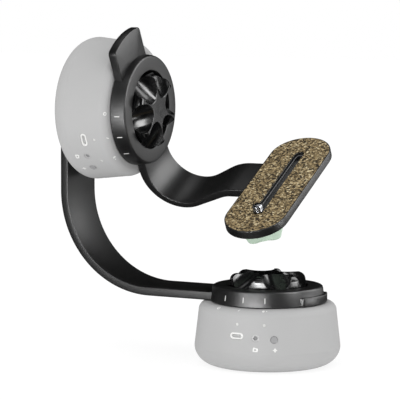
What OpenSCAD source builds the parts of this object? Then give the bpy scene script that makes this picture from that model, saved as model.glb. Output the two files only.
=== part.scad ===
// Motorised pan and tilt head: two motor units, an L-shaped arm between them and a camera platform.
// Millimetres, +Z up. The origin is the mouth of the tripod socket, on the pan axis.
// The tilt axis runs along +X, and the platform stands at the tilt that tilt_pose gives.

/* [Motor unit casing] */
// Radius of the casing at its widest, where the base meets the shell
unit_r = 45; // [44:0.5:48]
// Radius of the shell below its top shoulder
unit_top_r = 42.5; // [42:0.1:44]
// Height of the shell's top face above the base
unit_h = 38.8; // [38:0.2:44]
// Radius of the flat underside
base_flat_r = 32; // [31:0.5:34]
// Height of the seam between base and shell
seam_h = 12; // [11:0.5:13]
// Radius of the top shoulder
shoulder_r = 5; // [3:0.5:6]
// Wall of the shell and the base
wall = 2.4; // [1.8:0.1:2.8]

/* [Sockets and clamp screws] */
// Radius of the quarter-inch tripod socket
socket_r = 3.175; // [3:0.025:3.5]
// Depth of the tripod socket
socket_l = 12; // [9:0.5:13]
// Radius of the clamp screws, three-eighths of an inch
clamp_r = 4.7; // [4:0.1:5]
// Reach of a clamp screw below the clamp disc
clamp_reach = 11; // [8:0.5:14]

/* [Turntable and drive] */
// Radius of the turntable
turntable_r = 30.4; // [28:0.2:31]
// Thickness of the turntable
turntable_t = 3.2; // [2.6:0.2:4]
// Thickness of the rubber friction ring
ring_t = 0.8; // [0.6:0.1:1.2]
// Gear module
tooth_size = 0.8; // [0.7:0.05:0.85]
// Teeth on the drive gear
gear_teeth = 57; // [54:1:58]
// Teeth on the motor pinion
pinion_teeth = 19; // [18:1:20]
// Face width of the gears
gear_w = 5; // [4:0.5:6]
// Bore radius of the ball bearing
bearing_bore_r = 10; // [9:0.5:11]
// Outer radius of the ball bearing
bearing_outer_r = 16; // [15.5:0.5:18]
// Width of the ball bearing
bearing_w = 7; // [6:0.5:7]
// Number of balls
ball_count = 12; // [8:1:14]
// Length of the gear motor
motor_l = 17.6; // [14:0.2:18]

/* [Clamp disc and knob] */
// Radius of the clamp disc at its underside
disc_r = 35.3; // [34:0.1:37]
// Radius of the disc's rim at its top edge
disc_top_r = 33.9; // [33:0.1:34.5]
// Height of the clamp disc
disc_h = 9.8; // [8.6:0.2:12]
// Radius of the well that the knob sits in
well_r = 24.6; // [24:0.1:27]
// Floor left under the well
well_floor = 3; // [2.4:0.2:4]
// Radius of the clamp knob
knob_r = 23.4; // [20:0.2:23.8]
// Thickness of the washer under the pan knob
pan_washer_t = 2.4; // [1:0.1:3]
// Thickness of the washer under the tilt knob
tilt_washer_t = 1; // [1:0.1:3]
// Height of the knob's top above the disc's underside, before its washer
knob_top = 15; // [13:0.5:19]
// Finger scoops round the knob
scoop_count = 6; // [5:1:7]
// Radius of a finger scoop
scoop_r = 10; // [8:0.5:10.5]
// Slope of the scoops, in degrees
scoop_slope = 30; // [24:1:36]

/* [Arms] */
// Width of the L-shaped arm and of the tilt arm's fin
arm_w = 34.8; // [30:0.2:38]
// Width of the tilt arm's swept bar
bar_w = 32.4; // [28:0.2:34]
// Thickness of both arms
bar_t = 5.4; // [4.8:0.1:6]
// Inner bend radius of the L-shaped arm
bend_r = 57; // [40:1:60]
// Outer bend radius of the L-shaped arm
bend_outer_r = 63.5; // [45:0.5:65]
// Reach of the L-shaped arm's stub past the clamp disc
stub_reach = 1.4; // [1:0.1:6]
// Reach of the tilt arm's fin past the clamp disc
fin_reach = 17.1; // [8:0.1:30]
// Radius of the L-shaped arm's round end
arm_end_r = 24; // [18:0.5:28]
// Thickness of the rubber pad behind the tilt unit
arm_pad_t = 1.5; // [1:0.1:4]

/* [Tilt axis] */
// Height of the tilt axis
tilt_z = 154.6; // [146:0.2:180]
// Distance from the pan axis to the tilt arm's clamp face
tilt_reach = 91.4; // [84:0.2:110]
// Angle of the platform above level, in degrees
tilt_pose = 27.4; // [0:0.1:45]
// Angle at which the tilt unit is clocked on its arm, in degrees
tilt_unit_roll = 24; // [0:1:40]

/* [Camera platform] */
// Length of the platform
platform_l = 110.4; // [96:0.2:130]
// Width of the platform
platform_w = 39.8; // [34:0.2:46]
// Shift of the platform's middle towards the front
platform_shift = 7.6; // [0:0.2:12]
// Depth of the cork's top face below the tilt axis
platform_drop = 45.75; // [42:0.25:52]
// Thickness of the platform under its cork
platform_t = 4.5; // [4:0.1:5.5]
// Thickness of the cork
cork_t = 0.9; // [0.6:0.1:2]
// Depth of the tilt arm's low point below the tilt axis
dip = 58.4; // [57:0.2:64]
// Thickness left at the tilt arm's low point
dip_t = 3.7; // [3:0.1:5]
// Slope of the tilt arm's rise to the platform, in degrees
rise_slope = 27.6; // [24:0.2:32]
// Slope of the rise on the arm's underside, in degrees
under_slope = 21.4; // [18:0.2:25]
// Length of the camera screw's slot
slot_l = 74; // [50:1:78]
// Width of the camera screw's slot
slot_w = 6.6; // [6.4:0.1:8]
// Shift of the slot's middle towards the back, from the platform's middle
slot_shift = 1.6; // [0:0.1:3]
// Height of the rib round the slot, under the platform
slot_rib = 2; // [1.6:0.1:3]
// Radius of the camera screw's quarter-inch thread
screw_r = 3.1; // [2.9:0.05:3.175]
// Length of thread that stands above the cork
screw_proud = 4.2; // [3.6:0.1:7]
// Radius of the camera screw's wing knob
wing_r = 12.5; // [10:0.5:15]
// Height of the wing knob
wing_h = 13; // [9:0.5:16]

/* [Ports] */
// Width of the charging port's opening
port_w = 8.8; // [8:0.2:10]
// Height of the charging port's opening
port_h = 4.2; // [3.8:0.1:4.6]
// Radius of the camera jack's nose
jack_r = 2.2; // [2:0.1:2.6]
// Radius of the camera jack's bore
jack_bore_r = 1.3; // [1:0.05:1.5]
// Radius of the power button
button_r = 2.1; // [1.8:0.1:2.6]
// Travel of the power button
button_travel = 0.8; // [0.5:0.1:1]

/* [Hidden] */

$fn = 64;
arc_steps = 16;     // segments in each round stretch of an outline
over = 1;           // how far a cut runs past what it cuts
slip = 0.05;        // radial clearance of a seated fit
run_gap = 0.4;      // gap between pieces that turn past each other
screw_gap = 0.2;    // clearance of a screw in a plain hole
head_gap = 0.25;    // clearance round a sunk screw head
head_sink = 0.2;    // depth of a screw head below the surface
head_wall = 1.4;    // wall round a sunk screw head

// Heights inside a motor unit, from the clamp face down
stage_z = unit_h + run_gap;
turntable_top = stage_z - ring_t;
turntable_z = turntable_top - turntable_t;
gear_gap = 1.6;
gear_top = turntable_z - gear_gap;
gear_z = gear_top - gear_w;
chassis_top = gear_z - gear_gap;
chassis_t = 2.6;
chassis_z = chassis_top - chassis_t;
bearing_z = chassis_top - bearing_w;
clip_t = 1.2;
clip_seat = 0.8;
clip_proud = 1.6;
clip_mouth = 4;
bearing_ledge = 1;
hub_z = bearing_z - 2 * clip_t;

// Casing wall as a function of height, between the seam and the shoulder
side_top = unit_h - shoulder_r;
function side_r(z) = unit_r + (unit_top_r - unit_r) * (z - seam_h) / (side_top - seam_h);
function inside_r(z) = side_r(z) - wall;

// Drive train
gear_r = tooth_size * gear_teeth / 2;
pinion_r = tooth_size * pinion_teeth / 2;
drive_centre = gear_r + pinion_r;
pressure_angle = 20;
addendum = 0.9 * tooth_size;
dedendum = 1.2 * tooth_size;
tooth_play = 0.06;
gear_boss_wall = 1.2;
gear_boss_r = bearing_bore_r + gear_boss_wall;
shaft_r = 1.5;
shaft_hole_r = 3;
shaft_seat = 3;

// Bearing races
race_t = (bearing_outer_r - bearing_bore_r) * 0.27;
ball_pitch_r = (bearing_outer_r + bearing_bore_r) / 2;
ball_r = (bearing_outer_r - bearing_bore_r) / 2 - race_t + 0.45;
ball_slip = 0.1;

// Chassis, its posts to the base and its lugs on the shell
chassis_r = inside_r(chassis_z) - 0.7;
bearing_seat_r = bearing_outer_r + 3.2;
motor_gap = 1.5;
motor_r = drive_centre - bearing_seat_r - motor_gap;
board_edge = bearing_seat_r + 2.8;
post_r = 3.4;
post_ring_r = 28;
post_angles = [10, 170, 215, 325];
post_z = wall + 1.8;
lug_r = 3.4;
lug_ring_r = inside_r(chassis_top) - 3.4;
lug_angles = [-10, 50, 130, 190];
lug_h = 5.6;
small_screw_r = 1.5;
small_head_r = 2.75;
small_head_h = 1.8;
small_screw_l = 8;

// Board and the ports that it carries, as angles round the unit and heights above the base
board_t = 1.6;
port_angle = -90;
port_z = 23.1;
jack_angle = -74.3;
jack_z = 22.3;
button_angle = -59.6;
button_z = 21.5;
light_angles = [-90, -67.5];
light_z = 30;
light_r = 0.9;
light_inside = 1.4;
port_sink = 0.6;
face_sink = 0.2;
bore_end = 1.2;
jack_roof = 0.4;
board_top = port_z - port_h / 2 - 1.4;
board_pin_r = 1;
board_post_r = 2.6;
board_post_x = 24;
board_post_y = -(board_edge + 3.4);
port_depth = 7.3;
jack_body_l = 7;
jack_body_w = 6;
button_flange_r = button_r + 0.9;
button_flange_t = 1.2;
button_proud = 0.5;
button_inner_r = inside_r(button_z) - 0.6 - button_flange_t;
board_r = button_inner_r - button_travel - 0.6;
switch_l = 5;
switch_w = 6;
plunger_r = 1.2;
plunger_l = 0.6;
switch_gap = 0.2;
switch_r = button_inner_r - button_travel - switch_gap - plunger_l;
chip_size = [9, 5, 1.2];
battery_size = [34, 17, 10];
battery_z = wall + 1.6;
battery_rim = 2;
bush_r = socket_r + 3.2;
battery_y = -(bush_r + wall + 4.7 + battery_size[1] / 2);

// Clamp disc, knob and clamp screw, in heights above the clamp face
disc_edge_r = 1.5;
disc_hole_r = clamp_r + 0.3;
washer_r = 9;
knob_z = well_floor;
knob_edge_r = 4;
scoop_lift = 2.7;
scoop_axis_z = knob_top + scoop_lift;
insert_l = 5;
knob_insert_top = knob_z + insert_l;
pan_knob_turn = 10;
tilt_knob_turn = 17.3;

// L-shaped arm, in the plane of the two axes
arm_z = stage_z;
arm_x = -(tilt_reach + stage_z + arm_pad_t);
stub_r = disc_r + stub_reach;
stub_corner_r = 1.5;
mount_screw_r = socket_r - slip;
mount_hole_r = socket_r + 0.3;
arm_pad_hole_r = mount_hole_r + 4;
mount_grip = socket_l - 3;
mount_head_r = 8;
mount_head_h = 4;
mount_key_r = 2.9;

// Tilt arm, measured from the clamp face and the tilt axis
fin_r = disc_r + fin_reach;
fin_corner_r = 3;
platform_x = tilt_reach;
platform_z = -platform_drop - cork_t - platform_t;
cork_inset = 0.4;
dip_r = 22;
rise_r = 32;
dip_outer_r = 26.6;
under_rise_r = 20;
rib_wall = 2;
slot_y = slot_shift - platform_shift;
screw_y = slot_y - slot_l / 2 + slot_w / 2 + 0.2;
carrier_gap = 0.15;
carrier_t = 1.2;
carrier_r = 7;
neck_r = screw_r - 0.6;
rib_z = platform_z - slot_rib;
carrier_z = rib_z - carrier_gap - carrier_t;
wing_top = carrier_z - carrier_gap;
wing_hub_r = 6.2;
wing_w = 7.4;
wing_turn = 25;
wing_floor = 4;
wing_blade = 0.75;
thread_lift = 0.1;

// Outlines: arcs as lists of points
function oval_arc(cx, cy, rx, ry, from, to) =
    [
        for (i = [0:arc_steps])
            let (a = from + (to - from) * i / arc_steps)
            [cx + rx * cos(a), cy + ry * sin(a)]
    ];
function arc(cx, cy, r, from, to) = oval_arc(cx, cy, r, r, from, to);
// Involute gear outline with the tooth at angle 0 centred on the X axis
function involute(a) = tan(a) * 180 / PI - a;
function flank(teeth, r) =
    let (pitch_r = tooth_size * teeth / 2, base_r = pitch_r * cos(pressure_angle))
    90 / teeth - tooth_play / pitch_r * 180 / PI
    + involute(pressure_angle) - involute(acos(min(1, base_r / r)));
function gear_outline(teeth) =
    let (
        pitch_r = tooth_size * teeth / 2,
        base_r = pitch_r * cos(pressure_angle),
        root_r = pitch_r - dedendum,
        tip_r = pitch_r + addendum,
        low_r = max(base_r, root_r),
        steps = 4,
        root = root_r < base_r ? [root_r] : [],
        radii = concat(root, [for (i = [0:steps]) low_r + (tip_r - low_r) * i / steps])
    )
    [
        for (k = [0:teeth - 1])
            each concat(
                [
                    for (r = radii)
                        let (a = 360 * k / teeth - flank(teeth, max(r, base_r)))
                        [r * cos(a), r * sin(a)]
                ],
                [
                    for (i = [len(radii) - 1:-1:0])
                        let (r = radii[i], a = 360 * k / teeth + flank(teeth, max(r, base_r)))
                        [r * cos(a), r * sin(a)]
                ]
            )
    ];

// Frames: a motor unit is drawn on its own axis with its base at 0
module tilt_unit() {
    translate([-tilt_reach - stage_z, 0, tilt_z]) rotate([tilt_unit_roll, 0, 0]) rotate([0, 90, 0])
        children();
}
// The tilt stage is drawn level, with X from the clamp face and Z from the tilt axis
module tilt_stage() {
    translate([-tilt_reach, 0, tilt_z]) rotate([tilt_pose, 0, 0]) children();
}
// A disc or knob drawn upwards is laid along the tilt axis
module along_tilt() {
    tilt_stage() rotate([0, 90, 0]) children();
}
// Something drawn along +Z is pointed outwards through the casing wall
module through_wall(angle, r, z) {
    rotate([0, 0, angle]) translate([r, 0, z]) rotate([0, 90, 0]) children();
}
module tube(outer_r, inner_r, h) {
    difference() {
        cylinder(r = outer_r, h = h);
        translate([0, 0, -over]) cylinder(r = inner_r, h = h + 2 * over);
    }
}
module stadium(length, width) {
    translate([0, -(length - width) / 2]) circle(d = width);
    translate([0, (length - width) / 2]) circle(d = width);
    translate([-width / 2, -(length - width) / 2]) square([width, length - width]);
}

// Motor unit casing
module shell() {
    outline = concat(
        [[unit_r, seam_h]],
        arc(unit_top_r - shoulder_r, side_top, shoulder_r, 0, 90),
        [[turntable_r + run_gap, unit_h], [turntable_r + run_gap, unit_h - wall]],
        arc(unit_top_r - shoulder_r, side_top, shoulder_r - wall, 90, 0),
        [[unit_r - wall, seam_h]]
    );
    color("#bdbdbd") difference() {
        union() {
            rotate_extrude() polygon(outline);
            for (a = lug_angles) rotate([0, 0, a]) shell_lug();
        }
        for (a = lug_angles) rotate([0, 0, a]) translate([lug_ring_r, 0, chassis_top - over])
            cylinder(r = small_screw_r + slip, h = lug_h + over - wall / 2);
        through_wall(port_angle, inside_r(port_z) - over, port_z)
            linear_extrude(wall + 2 * over) stadium(port_w, port_h);
        wall_hole(jack_angle, jack_z, jack_r + slip);
        wall_hole(button_angle, button_z, button_r + slip);
        for (a = light_angles) wall_hole(a, light_z, light_r + slip);
    }
}
module shell_lug() {
    lug_end = inside_r(chassis_top + lug_h) + wall / 2;
    translate([lug_ring_r, 0, chassis_top]) cylinder(r = lug_r, h = lug_h);
    translate([lug_ring_r, -lug_r, chassis_top]) cube([lug_end - lug_ring_r, 2 * lug_r, lug_h]);
}
module wall_hole(angle, z, r) {
    through_wall(angle, inside_r(z) - over, z) cylinder(r = r, h = wall + 2 * over);
}
module base_cover() {
    lip_h = 2.5;
    lip_gap = 0.4;
    lip_r = inside_r(seam_h + lip_h) - lip_gap;
    outline = concat(
        [[bush_r + slip, 0]],
        oval_arc(base_flat_r, seam_h, unit_r - base_flat_r, seam_h, -90, 0),
        [[unit_r - wall, seam_h], [lip_r, seam_h], [lip_r, seam_h + lip_h]],
        [[lip_r - wall / 2, seam_h + lip_h], [lip_r - wall / 2, seam_h - wall / 2]],
        oval_arc(base_flat_r, seam_h, unit_r - base_flat_r - wall, seam_h - wall, -12, -90),
        [[bush_r + wall, wall], [bush_r + wall, socket_l], [bush_r + slip, socket_l]]
    );
    color("#b5b5b5") difference() {
        union() {
            rotate_extrude() polygon(outline);
            for (a = post_angles) rotate([0, 0, a]) translate([post_ring_r, 0, wall / 2])
                cylinder(r = small_head_r + head_wall, h = post_z - wall / 2);
            for (side = [-1, 1]) translate([side * board_post_x, board_post_y, 0]) board_post();
            translate([0, battery_y, wall / 2]) linear_extrude(battery_z - wall / 2)
                square([battery_size[0] - 2 * battery_rim, battery_size[1] - 2 * battery_rim], true);
        }
        for (a = post_angles) rotate([0, 0, a]) translate([post_ring_r, 0, -over]) {
            cylinder(r = small_head_r + head_gap, h = small_head_h + head_sink + over);
            cylinder(r = small_screw_r + screw_gap, h = post_z + 2 * over);
        }
    }
}
module board_post() {
    foot_z = wall - 0.2;
    translate([0, 0, foot_z]) cylinder(r = board_post_r, h = board_top - board_t - foot_z);
    translate([0, 0, board_top - board_t - over]) cylinder(r = board_pin_r, h = board_t + over + 1);
}
module socket() {
    color("#b08d57") tube(bush_r, socket_r, socket_l);
}
module base_screws() {
    color("#8a8a8a") for (a = post_angles) rotate([0, 0, a]) translate([post_ring_r, 0, head_sink])
        socket_head_screw(small_screw_r, small_screw_l, small_head_r, small_head_h);
}
module chassis_screws() {
    head_z = chassis_z - small_head_h;
    color("#8a8a8a") for (a = lug_angles) rotate([0, 0, a]) translate([lug_ring_r, 0, head_z])
        socket_head_screw(small_screw_r, chassis_t + lug_h - wall, small_head_r, small_head_h);
}
module socket_head_screw(r, length, head_r, head_h) {
    difference() {
        union() {
            cylinder(r = head_r, h = head_h);
            cylinder(r = r, h = head_h + length);
        }
        translate([0, 0, -over]) cylinder(r = head_r / 2, h = head_h * 0.6 + over, $fn = 6);
    }
}

// Inside a motor unit
module chassis() {
    color("#6f7376") difference() {
        union() {
            translate([0, 0, chassis_z]) linear_extrude(chassis_t) difference() {
                circle(r = chassis_r);
                translate([-unit_r, -unit_r - board_edge + 1]) square([2 * unit_r, unit_r]);
            }
            translate([0, 0, bearing_z - clip_t]) cylinder(r = bearing_seat_r, h = bearing_w + clip_t);
            for (a = post_angles) rotate([0, 0, a]) translate([post_ring_r, 0, post_z])
                cylinder(r = post_r, h = chassis_z - post_z + over);
        }
        translate([0, 0, bearing_z]) cylinder(r = bearing_outer_r + slip, h = bearing_w + over);
        translate([0, 0, bearing_z - clip_t - over])
            cylinder(r = bearing_outer_r - bearing_ledge, h = clip_t + 2 * over);
        for (a = post_angles) rotate([0, 0, a]) translate([post_ring_r, 0, post_z - over])
            cylinder(r = small_screw_r + slip, h = small_screw_l + 2 * over);
        for (a = lug_angles) rotate([0, 0, a]) translate([lug_ring_r, 0, chassis_z - over])
            cylinder(r = small_screw_r + screw_gap, h = chassis_t + 2 * over);
        translate([0, drive_centre, chassis_z - over]) cylinder(r = shaft_hole_r, h = chassis_t + 2 * over);
    }
}
module race_groove() {
    translate([0, 0, bearing_w / 2]) rotate_extrude()
        translate([ball_pitch_r, 0]) circle(r = ball_r + ball_slip);
}
module bearing_outer() {
    color("#c9ccd0") translate([0, 0, bearing_z]) difference() {
        tube(bearing_outer_r, bearing_outer_r - race_t, bearing_w);
        race_groove();
    }
}
module bearing_inner() {
    color("#c9ccd0") translate([0, 0, bearing_z]) difference() {
        tube(bearing_bore_r + race_t, bearing_bore_r + slip, bearing_w);
        race_groove();
    }
}
module bearing_balls() {
    color("#dfe2e6") for (k = [0:ball_count - 1]) rotate([0, 0, 360 * k / ball_count])
        translate([ball_pitch_r, 0, bearing_z + bearing_w / 2]) sphere(r = ball_r);
}
module retaining_ring() {
    color("#55585c") translate([0, 0, bearing_z - clip_t]) difference() {
        tube(bearing_bore_r + clip_proud, bearing_bore_r - clip_seat, clip_t);
        translate([0, -clip_mouth / 2, -over]) cube([unit_r, clip_mouth, clip_t + 2 * over]);
    }
}
module turntable() {
    color("#3a3c3f") difference() {
        union() {
            translate([0, 0, turntable_z]) cylinder(r = turntable_r, h = turntable_t);
            translate([0, 0, hub_z]) cylinder(r = bearing_bore_r, h = turntable_z - hub_z + over);
        }
        translate([0, 0, hub_z - over]) cylinder(r = clamp_r + slip, h = unit_h);
        translate([0, 0, bearing_z - clip_t]) tube(unit_r, bearing_bore_r - clip_seat - slip, clip_t);
    }
}
module friction_ring() {
    color("#1d1d1d") translate([0, 0, turntable_top]) tube(turntable_r - 2, turntable_r * 0.55, ring_t);
}
module drive_gear() {
    color("#d8d2c0") difference() {
        union() {
            translate([0, 0, gear_z]) linear_extrude(gear_w) polygon(gear_outline(gear_teeth));
            translate([0, 0, chassis_top]) cylinder(r = gear_boss_r, h = turntable_z - chassis_top);
        }
        translate([0, 0, chassis_top - over]) cylinder(r = bearing_bore_r + slip, h = turntable_z);
    }
}
module pinion() {
    color("#b08d57") translate([0, drive_centre, gear_z]) difference() {
        rotate([0, 0, -90 + 180 / pinion_teeth]) linear_extrude(gear_w) polygon(gear_outline(pinion_teeth));
        translate([0, 0, -over]) cylinder(r = shaft_r + slip, h = gear_w + 2 * over);
    }
}
module motor_shaft() {
    color("#c9ccd0") translate([0, drive_centre, chassis_z - shaft_seat])
        cylinder(r = shaft_r, h = gear_top - chassis_z + shaft_seat);
}
module motor() {
    can_l = motor_l / 2;
    color("#a7abb0") translate([0, drive_centre, chassis_z - motor_l]) difference() {
        union() {
            cylinder(r = motor_r - 1, h = can_l);
            translate([0, 0, can_l]) cylinder(r = motor_r, h = motor_l - can_l);
        }
        translate([0, 0, motor_l - shaft_seat - slip]) cylinder(r = shaft_r + slip, h = shaft_seat + over);
    }
}
module battery() {
    color("#4d6f9e") translate([0, battery_y, battery_z + battery_size[2] / 2])
        cube(battery_size, center = true);
}
module circuit_board() {
    color("#1f5a37") {
        translate([0, 0, board_top - board_t]) linear_extrude(board_t) difference() {
            circle(r = board_r);
            translate([-unit_r, -board_edge]) square([2 * unit_r, 2 * unit_r]);
            for (side = [-1, 1]) translate([side * board_post_x, board_post_y])
                circle(r = board_pin_r + slip);
        }
        translate([-chip_size[0], -board_edge - chip_size[1] - over, board_top - slip])
            cube(chip_size);
        rotate([0, 0, button_angle]) translate([switch_r - switch_l, -switch_w / 2, board_top])
            cube([switch_l, switch_w, button_z + switch_w / 2 - board_top]);
        through_wall(button_angle, switch_r - over, button_z) cylinder(r = plunger_r, h = plunger_l + over);
    }
}
module charging_port() {
    lining = 0.5;
    face_r = side_r(port_z) - port_sink;
    color("#c4c7ca") difference() {
        union() {
            through_wall(port_angle, face_r - port_depth, port_z)
                linear_extrude(port_depth) stadium(port_w - 2 * slip, port_h - 2 * slip);
            rotate([0, 0, port_angle]) translate([face_r - port_depth, -port_w / 2 + 1, board_top])
                cube([port_depth - wall - 1, port_w - 2, port_z - board_top]);
        }
        through_wall(port_angle, face_r - port_depth + bore_end, port_z)
            linear_extrude(port_depth) stadium(port_w - 2 * lining, port_h - 2 * lining);
    }
}
module camera_jack() {
    face_r = side_r(jack_z) - face_sink;
    body_r = inside_r(jack_z) - 1 - jack_body_l;
    color("#2c2c2c") difference() {
        union() {
            through_wall(jack_angle, body_r, jack_z) cylinder(r = jack_r, h = face_r - body_r);
            rotate([0, 0, jack_angle]) translate([body_r, -jack_body_w / 2, board_top])
                cube([jack_body_l, jack_body_w, jack_z + jack_r + jack_roof - board_top]);
        }
        through_wall(jack_angle, body_r + bore_end, jack_z) cylinder(r = jack_bore_r, h = unit_r);
    }
}
module power_button() {
    color("#a9a9a9") through_wall(button_angle, button_inner_r, button_z) {
        cylinder(r = button_flange_r, h = button_flange_t);
        cylinder(r = button_r - slip, h = side_r(button_z) + button_proud - button_inner_r);
    }
}
module status_lights() {
    color("#f4f4f0") for (a = light_angles) through_wall(a, inside_r(light_z) - light_inside, light_z)
        cylinder(r = light_r, h = wall + light_inside - face_sink);
}

// Clamp disc with the well for its knob, drawn up from the clamp face
module disc_solid() {
    rotate_extrude() polygon(concat(
        [[0, 0], [disc_r, 0]],
        arc(disc_top_r - disc_edge_r, disc_h - disc_edge_r, disc_edge_r, 5, 90),
        [[0, disc_h]]
    ));
}
module disc_cut() {
    translate([0, 0, well_floor]) cylinder(r = well_r, h = disc_h);
    translate([0, 0, -over]) cylinder(r = disc_hole_r, h = disc_h);
}
module knob(turn) {
    color("#1b1b1b") rotate([0, 0, turn]) difference() {
        rotate_extrude() polygon(concat(
            [[0, knob_z], [knob_r, knob_z]],
            arc(knob_r - knob_edge_r, knob_top - knob_edge_r, knob_edge_r, 0, 90),
            [[0, knob_top]]
        ));
        for (k = [0:scoop_count - 1]) rotate([0, 0, 360 * k / scoop_count])
            translate([knob_r, 0, scoop_axis_z]) rotate([0, 90 + scoop_slope, 0])
                cylinder(r = scoop_r, h = 4 * knob_r, center = true);
        translate([0, 0, knob_z - over]) cylinder(r = clamp_r + slip, h = knob_insert_top - knob_z + over);
    }
}
module clamp_screw(washer_t) {
    color("#9a9da1") translate([0, 0, -clamp_reach])
        cylinder(r = clamp_r, h = clamp_reach + knob_insert_top + washer_t);
}
module knob_washer(washer_t) {
    color("#d9d9d9") translate([0, 0, well_floor]) tube(washer_r, disc_hole_r, washer_t);
}

// L-shaped arm: stub, clamp disc, level bar, bend and upright to the tilt unit
module pan_arm() {
    outer_x = arm_x - bar_t;
    top_z = arm_z + bar_t;
    outline = concat(
        [[0, arm_z], [0, top_z]],
        arc(arm_x + bend_r, top_z + bend_r, bend_r, 270, 180),
        [[arm_x, tilt_z], [outer_x, tilt_z]],
        arc(outer_x + bend_outer_r, arm_z + bend_outer_r, bend_outer_r, 180, 270)
    );
    color("#232323") difference() {
        union() {
            translate([0, arm_w / 2, 0]) rotate([90, 0, 0]) linear_extrude(arm_w) polygon(outline);
            translate([0, 0, arm_z]) linear_extrude(bar_t) bar_stub(stub_r, stub_corner_r);
            translate([0, 0, arm_z]) disc_solid();
            translate([outer_x, 0, tilt_z]) rotate([0, 90, 0]) cylinder(r = arm_end_r, h = bar_t);
        }
        translate([0, 0, arm_z]) disc_cut();
        translate([outer_x - over, 0, tilt_z]) rotate([0, 90, 0])
            cylinder(r = mount_hole_r, h = bar_t + 2 * over);
    }
}
// End of a bar that stands past its disc: an arc of radius r with rounded corners
module bar_stub(r, corner_r) {
    corner_y = arm_w / 2 - corner_r;
    corner_x = sqrt(pow(r - corner_r, 2) - pow(corner_y, 2));
    turn = atan2(corner_y, corner_x);
    polygon(concat(
        [[0, -arm_w / 2]],
        arc(corner_x, -corner_y, corner_r, -90, -turn),
        arc(0, 0, r, -turn, turn),
        arc(corner_x, corner_y, corner_r, turn, 90),
        [[0, arm_w / 2]]
    ));
}
module arm_pad() {
    color("#1d1d1d") translate([arm_x, 0, tilt_z]) rotate([0, 90, 0])
        tube(arm_end_r, arm_pad_hole_r, arm_pad_t);
}
module tilt_mount_screw() {
    color("#9a9da1") translate([arm_x - bar_t - mount_head_h, 0, tilt_z]) rotate([0, 90, 0]) difference() {
        union() {
            cylinder(r = mount_head_r, h = mount_head_h);
            cylinder(r = mount_screw_r, h = mount_head_h + bar_t + arm_pad_t + mount_grip);
        }
        translate([0, 0, -over]) cylinder(r = mount_key_r, h = mount_head_h * 0.7 + over, $fn = 6);
    }
}

// Tilt arm: fin, clamp disc, swept bar and camera platform in one casting
function dip_path(face_x, low_z, end_z, slope, r1, r2) =
    let (
        c1 = [face_x + r1, low_z + r1],
        p1 = [c1[0] + r1 * sin(slope), c1[1] - r1 * cos(slope)],
        straight = (end_z - p1[1] - r2 * (1 - cos(slope))) / sin(slope),
        p2 = [p1[0] + straight * cos(slope), p1[1] + straight * sin(slope)],
        c2 = [p2[0] + r2 * sin(slope), p2[1] - r2 * cos(slope)]
    )
    concat(
        [[face_x, 0]],
        arc(c1[0], c1[1], r1, 180, 270 + slope),
        arc(c2[0], c2[1], r2, 90 + slope, 90)
    );
module tilt_arm() {
    platform_top = platform_z + platform_t;
    bar_z = platform_top - bar_t;
    upper = dip_path(bar_t, -dip, platform_top, rise_slope, dip_r, rise_r);
    lower = dip_path(0, -dip - dip_t, bar_z, under_slope, dip_outer_r, under_rise_r);
    bar_end = platform_x - platform_w / 4;
    rim = concat(upper, [[bar_end, platform_top], [bar_end, bar_z]]);
    color("#232323") tilt_stage() difference() {
        union() {
            translate([0, bar_w / 2, 0]) rotate([90, 0, 0]) linear_extrude(bar_w)
                polygon(concat(rim, [for (i = [len(lower) - 1:-1:0]) lower[i]]));
            rotate([0, 90, 0]) linear_extrude(bar_t) rotate([0, 0, 180]) bar_stub(fin_r, fin_corner_r);
            rotate([0, 90, 0]) disc_solid();
            translate([platform_x, -platform_shift, platform_z]) linear_extrude(platform_t)
                stadium(platform_l, platform_w);
            translate([platform_x, slot_y, rib_z]) linear_extrude(slot_rib + platform_t / 2)
                stadium(slot_l + 2 * rib_wall, slot_w + 2 * rib_wall);
        }
        rotate([0, 90, 0]) disc_cut();
        translate([platform_x, slot_y, rib_z - over]) linear_extrude(platform_top - rib_z + 2 * over)
            stadium(slot_l, slot_w);
    }
}
module cork_pad() {
    color("#9a7d50") tilt_stage() translate([platform_x, 0, platform_z + platform_t]) linear_extrude(cork_t)
        difference() {
            translate([0, -platform_shift])
                stadium(platform_l - 2 * cork_inset, platform_w - 2 * cork_inset);
            translate([0, slot_y]) stadium(slot_l, slot_w);
        }
}
module on_screw_axis(z) {
    tilt_stage() translate([platform_x, screw_y, z]) children();
}
module screw_washer() {
    color("#d9d9d9") on_screw_axis(carrier_z)
        tube(carrier_r, neck_r + slip, carrier_t);
}
module camera_screw() {
    thread_z = -platform_drop + thread_lift;
    foot_z = wing_top - wing_h + wing_floor;
    color("#b9bcc0") {
        on_screw_axis(foot_z) cylinder(r = neck_r, h = thread_z - foot_z);
        on_screw_axis(thread_z) cylinder(r = screw_r, h = screw_proud);
    }
}
module camera_screw_knob() {
    color("#cfe9d3") on_screw_axis(wing_top - wing_h) rotate([0, 0, wing_turn]) difference() {
        union() {
            cylinder(r = wing_hub_r, h = wing_h);
            rotate([0, 0, 90]) linear_extrude(wing_h * wing_blade) stadium(2 * wing_r, wing_w);
        }
        translate([0, 0, wing_floor]) cylinder(r = neck_r + slip, h = wing_h);
    }
}

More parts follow.
